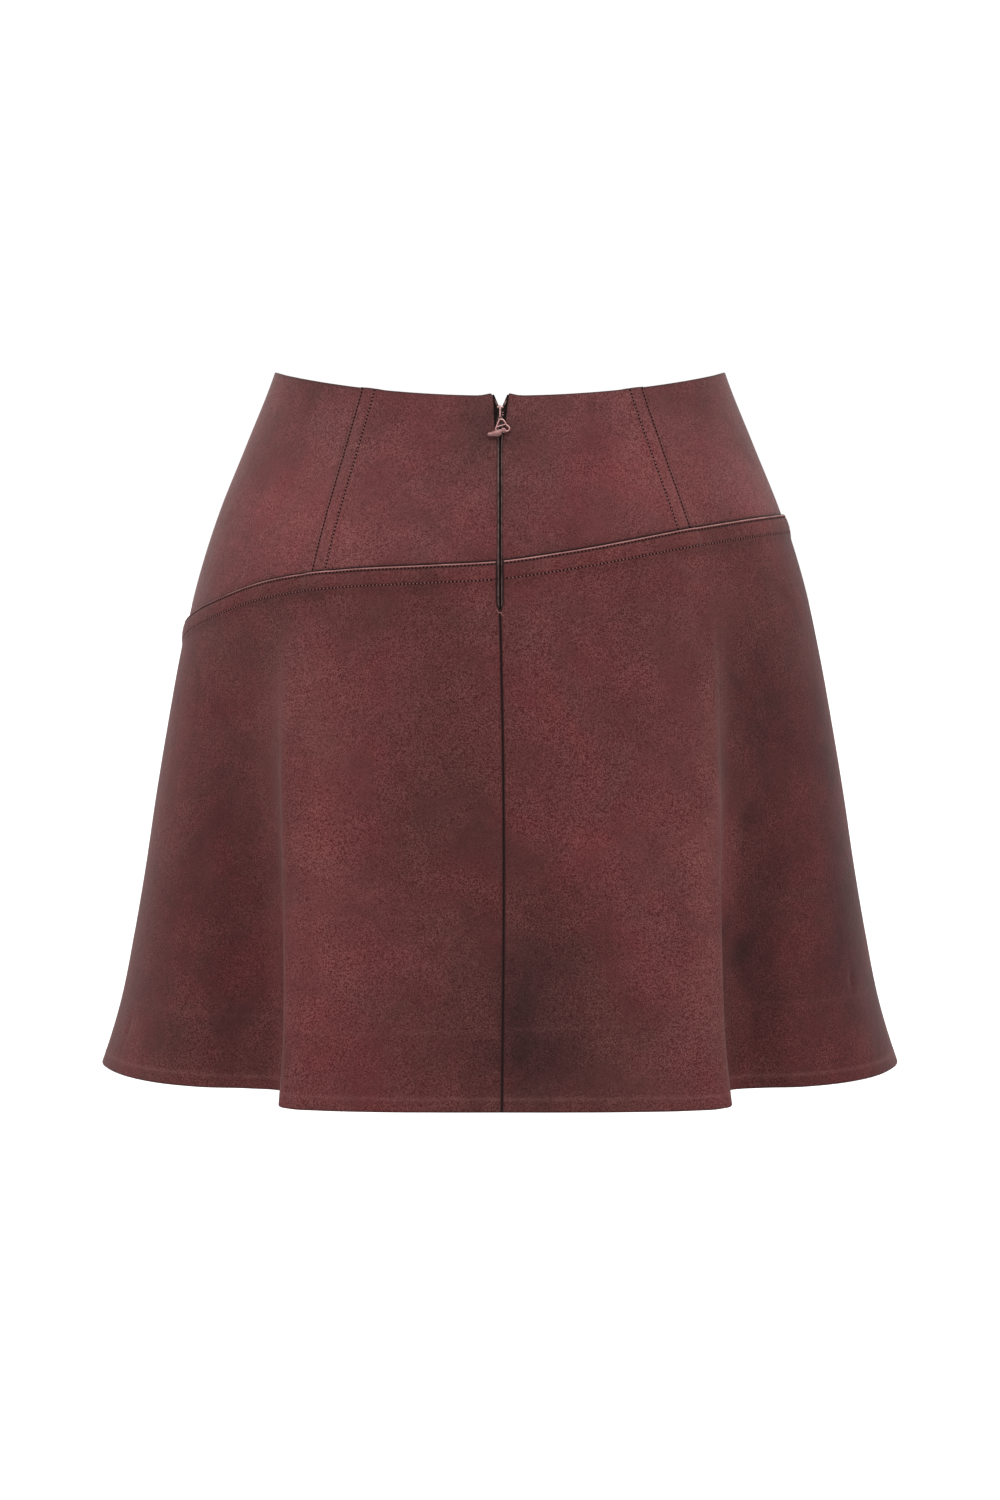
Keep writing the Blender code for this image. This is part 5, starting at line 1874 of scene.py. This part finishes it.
def pull_link():
    """The bent wire with its top ring, its crossbar and its eye."""
    angle = np.array(circle(32))
    ring = np.array(PIN_PLACE) + EYE * np.column_stack([np.cos(angle), np.sin(angle)])
    loop = wire(in_plane(smooth_curve(LINK_LOOP, 84, True)), UPWARDS, LINK_WIRE, 12, True)
    top = wire(in_plane(smooth_curve(LINK_TOP, 48, True)), UPWARDS, 0.27, 10, True)
    bar = wire(in_plane(smooth_curve(CROSSBAR, 14)), UPWARDS, LINK_WIRE * 0.85, 10)
    eye = wire(in_plane(ring), UPWARDS, 0.30, 10, True)
    return touched_metal("pull_link_enamel", [loop, top, bar, eye], 0.98, 1.5)


def pull_drop():
    """The drop, its pin, and the two cheeks and arms of its fork."""
    profile = smooth_curve(DROP_PROFILE, 44)
    pin = np.array(PIN_PLACE)
    points, faces = wire(in_plane(pin + profile[:, :2]), UPWARDS, profile[:, 2], 22)
    parts = [(flattened(points, PULL_OUT, 0.78), faces), blob((*pin, PULL_OUT), (0.5, 0.5, 1.3), 4.0, 14, 8)]
    arm = pin + np.linspace(0.1, 1.0, 8)[:, None] * np.array(DROP_PROFILE[3][:2])
    for level in (PULL_OUT - 0.98, PULL_OUT + 0.98):
        parts.append(blob((*pin, level), (1.15, 1.15, 0.34), 3.0, 20, 8))
        points, faces = wire(in_plane(arm, level), UPWARDS, np.linspace(0.55, 0.75, 8), 12)
        parts.append((flattened(points, level, 0.5), faces))
    return touched_metal("pull_drop_enamel", parts, 0.54)


cast = {
    "zip_slider": (zip_slider(), "garment"),
    "pull_link": (pull_link(), "link"),
    "pull_drop": (pull_drop(), "drop"),
}

# %% [markdown]
# ## The stage
#
# A plain white room: a wide pale floor a little below knee height, an even white surround, and two large
# soft boxes at the sides, which brighten the cloth where it turns away and leave the folds' valleys darker.

# %% The floor
FLOOR = -960.0
FLOOR_REACH = 14000.0
FLOOR_SIDES = 96


def white_stuff():
    """Matt white paint, a little uneven."""
    graph = Finish("pale floor", (0.9, 0.9, 0.9))
    noise = graph.noise(3.0, 2.0)
    return graph.surface(
        Base_Color=graph.mix(noise, (0.78, 0.78, 0.78), (0.82, 0.82, 0.82)),
        Roughness=(0.7 + (noise - 0.5) * 0.1).held(),
    )


ring = [(math.cos(a) * FLOOR_REACH, math.sin(a) * FLOOR_REACH, FLOOR) for a in circle(FLOOR_SIDES)]
floor = finished_object("floor", ring, [range(FLOOR_SIDES)], (white_stuff(),))
print("floor at", FLOOR, "mm")

# %% The room and its lights
world = bpy.data.worlds.new("white room")
world.use_nodes = True
sky = Graph(world.node_tree)
direction = sky.add("ShaderNodeTexCoord", output="Generated")
upward = sky.add("ShaderNodeSeparateXYZ", output="Z", Vector=direction)
overhead = {"interpolation_type": "SMOOTHSTEP"}
strength = sky.add("ShaderNodeMapRange", overhead, Value=upward, From_Min=0.15, To_Min=1.03, To_Max=2.2)
background = world.node_tree.nodes["Background"]
sky.feed(background.inputs["Strength"], strength)
sky.feed(background.inputs["Color"], (1.0, 1.0, 1.0))
bpy.context.scene.world = world

AIM = Vector((0.0, 0.0, -200.0))
LIGHTS = (
    # name, x, y, z, across, high, watts
    ("soft box left", -2400.0, -600.0, 350.0, 1100.0, 1900.0, 13.0),
    ("soft box right", 2400.0, -600.0, 350.0, 1100.0, 1900.0, 8.5),
    ("soft box above", 0.0, -1300.0, 1700.0, 1600.0, 900.0, 26.0),
)
for name, x, y, z, across, high, watts in LIGHTS:
    data = bpy.data.lights.new(name, "AREA")
    data.shape = "RECTANGLE"
    data.size = across * MM
    data.size_y = high * MM
    data.energy = watts
    place = Vector((x, y, z))
    lamp = placed(name, data)
    lamp.location = place * MM
    lamp.rotation_euler = (AIM - place).to_track_quat("-Z", "Y").to_euler()

bpy.context.scene.view_settings.view_transform = "Standard"
bpy.context.scene.view_settings.look = "None"
print("lights:", ", ".join(row[0] for row in LIGHTS))

# %% [markdown]
# ## Joining the pieces to the frame
#
# Each panel takes the place of its solid and rides on the garment.

# %% Joining the pieces to the frame
for name, piece in panels.items():
    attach(piece, "garment")
    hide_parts(name)

for word, piece in tapes.items():
    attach(piece, "garment")
    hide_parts("zip_tape_" + word)

sewn = stitching + [coil, coil_core, bar_tack]
for piece in sewn:
    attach(piece, "garment")

for node, (piece, body) in cast.items():
    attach(piece, body)
    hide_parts(node)

print("panels", len(panels), "tapes", len(tapes), "sewn", len(sewn), "metal", len(cast))

# %% [markdown]
# ## The end
#
# The pieces are counted.

# %% The end
print("pieces handed over:", len(panels) + len(tapes) + len(sewn) + len(cast))
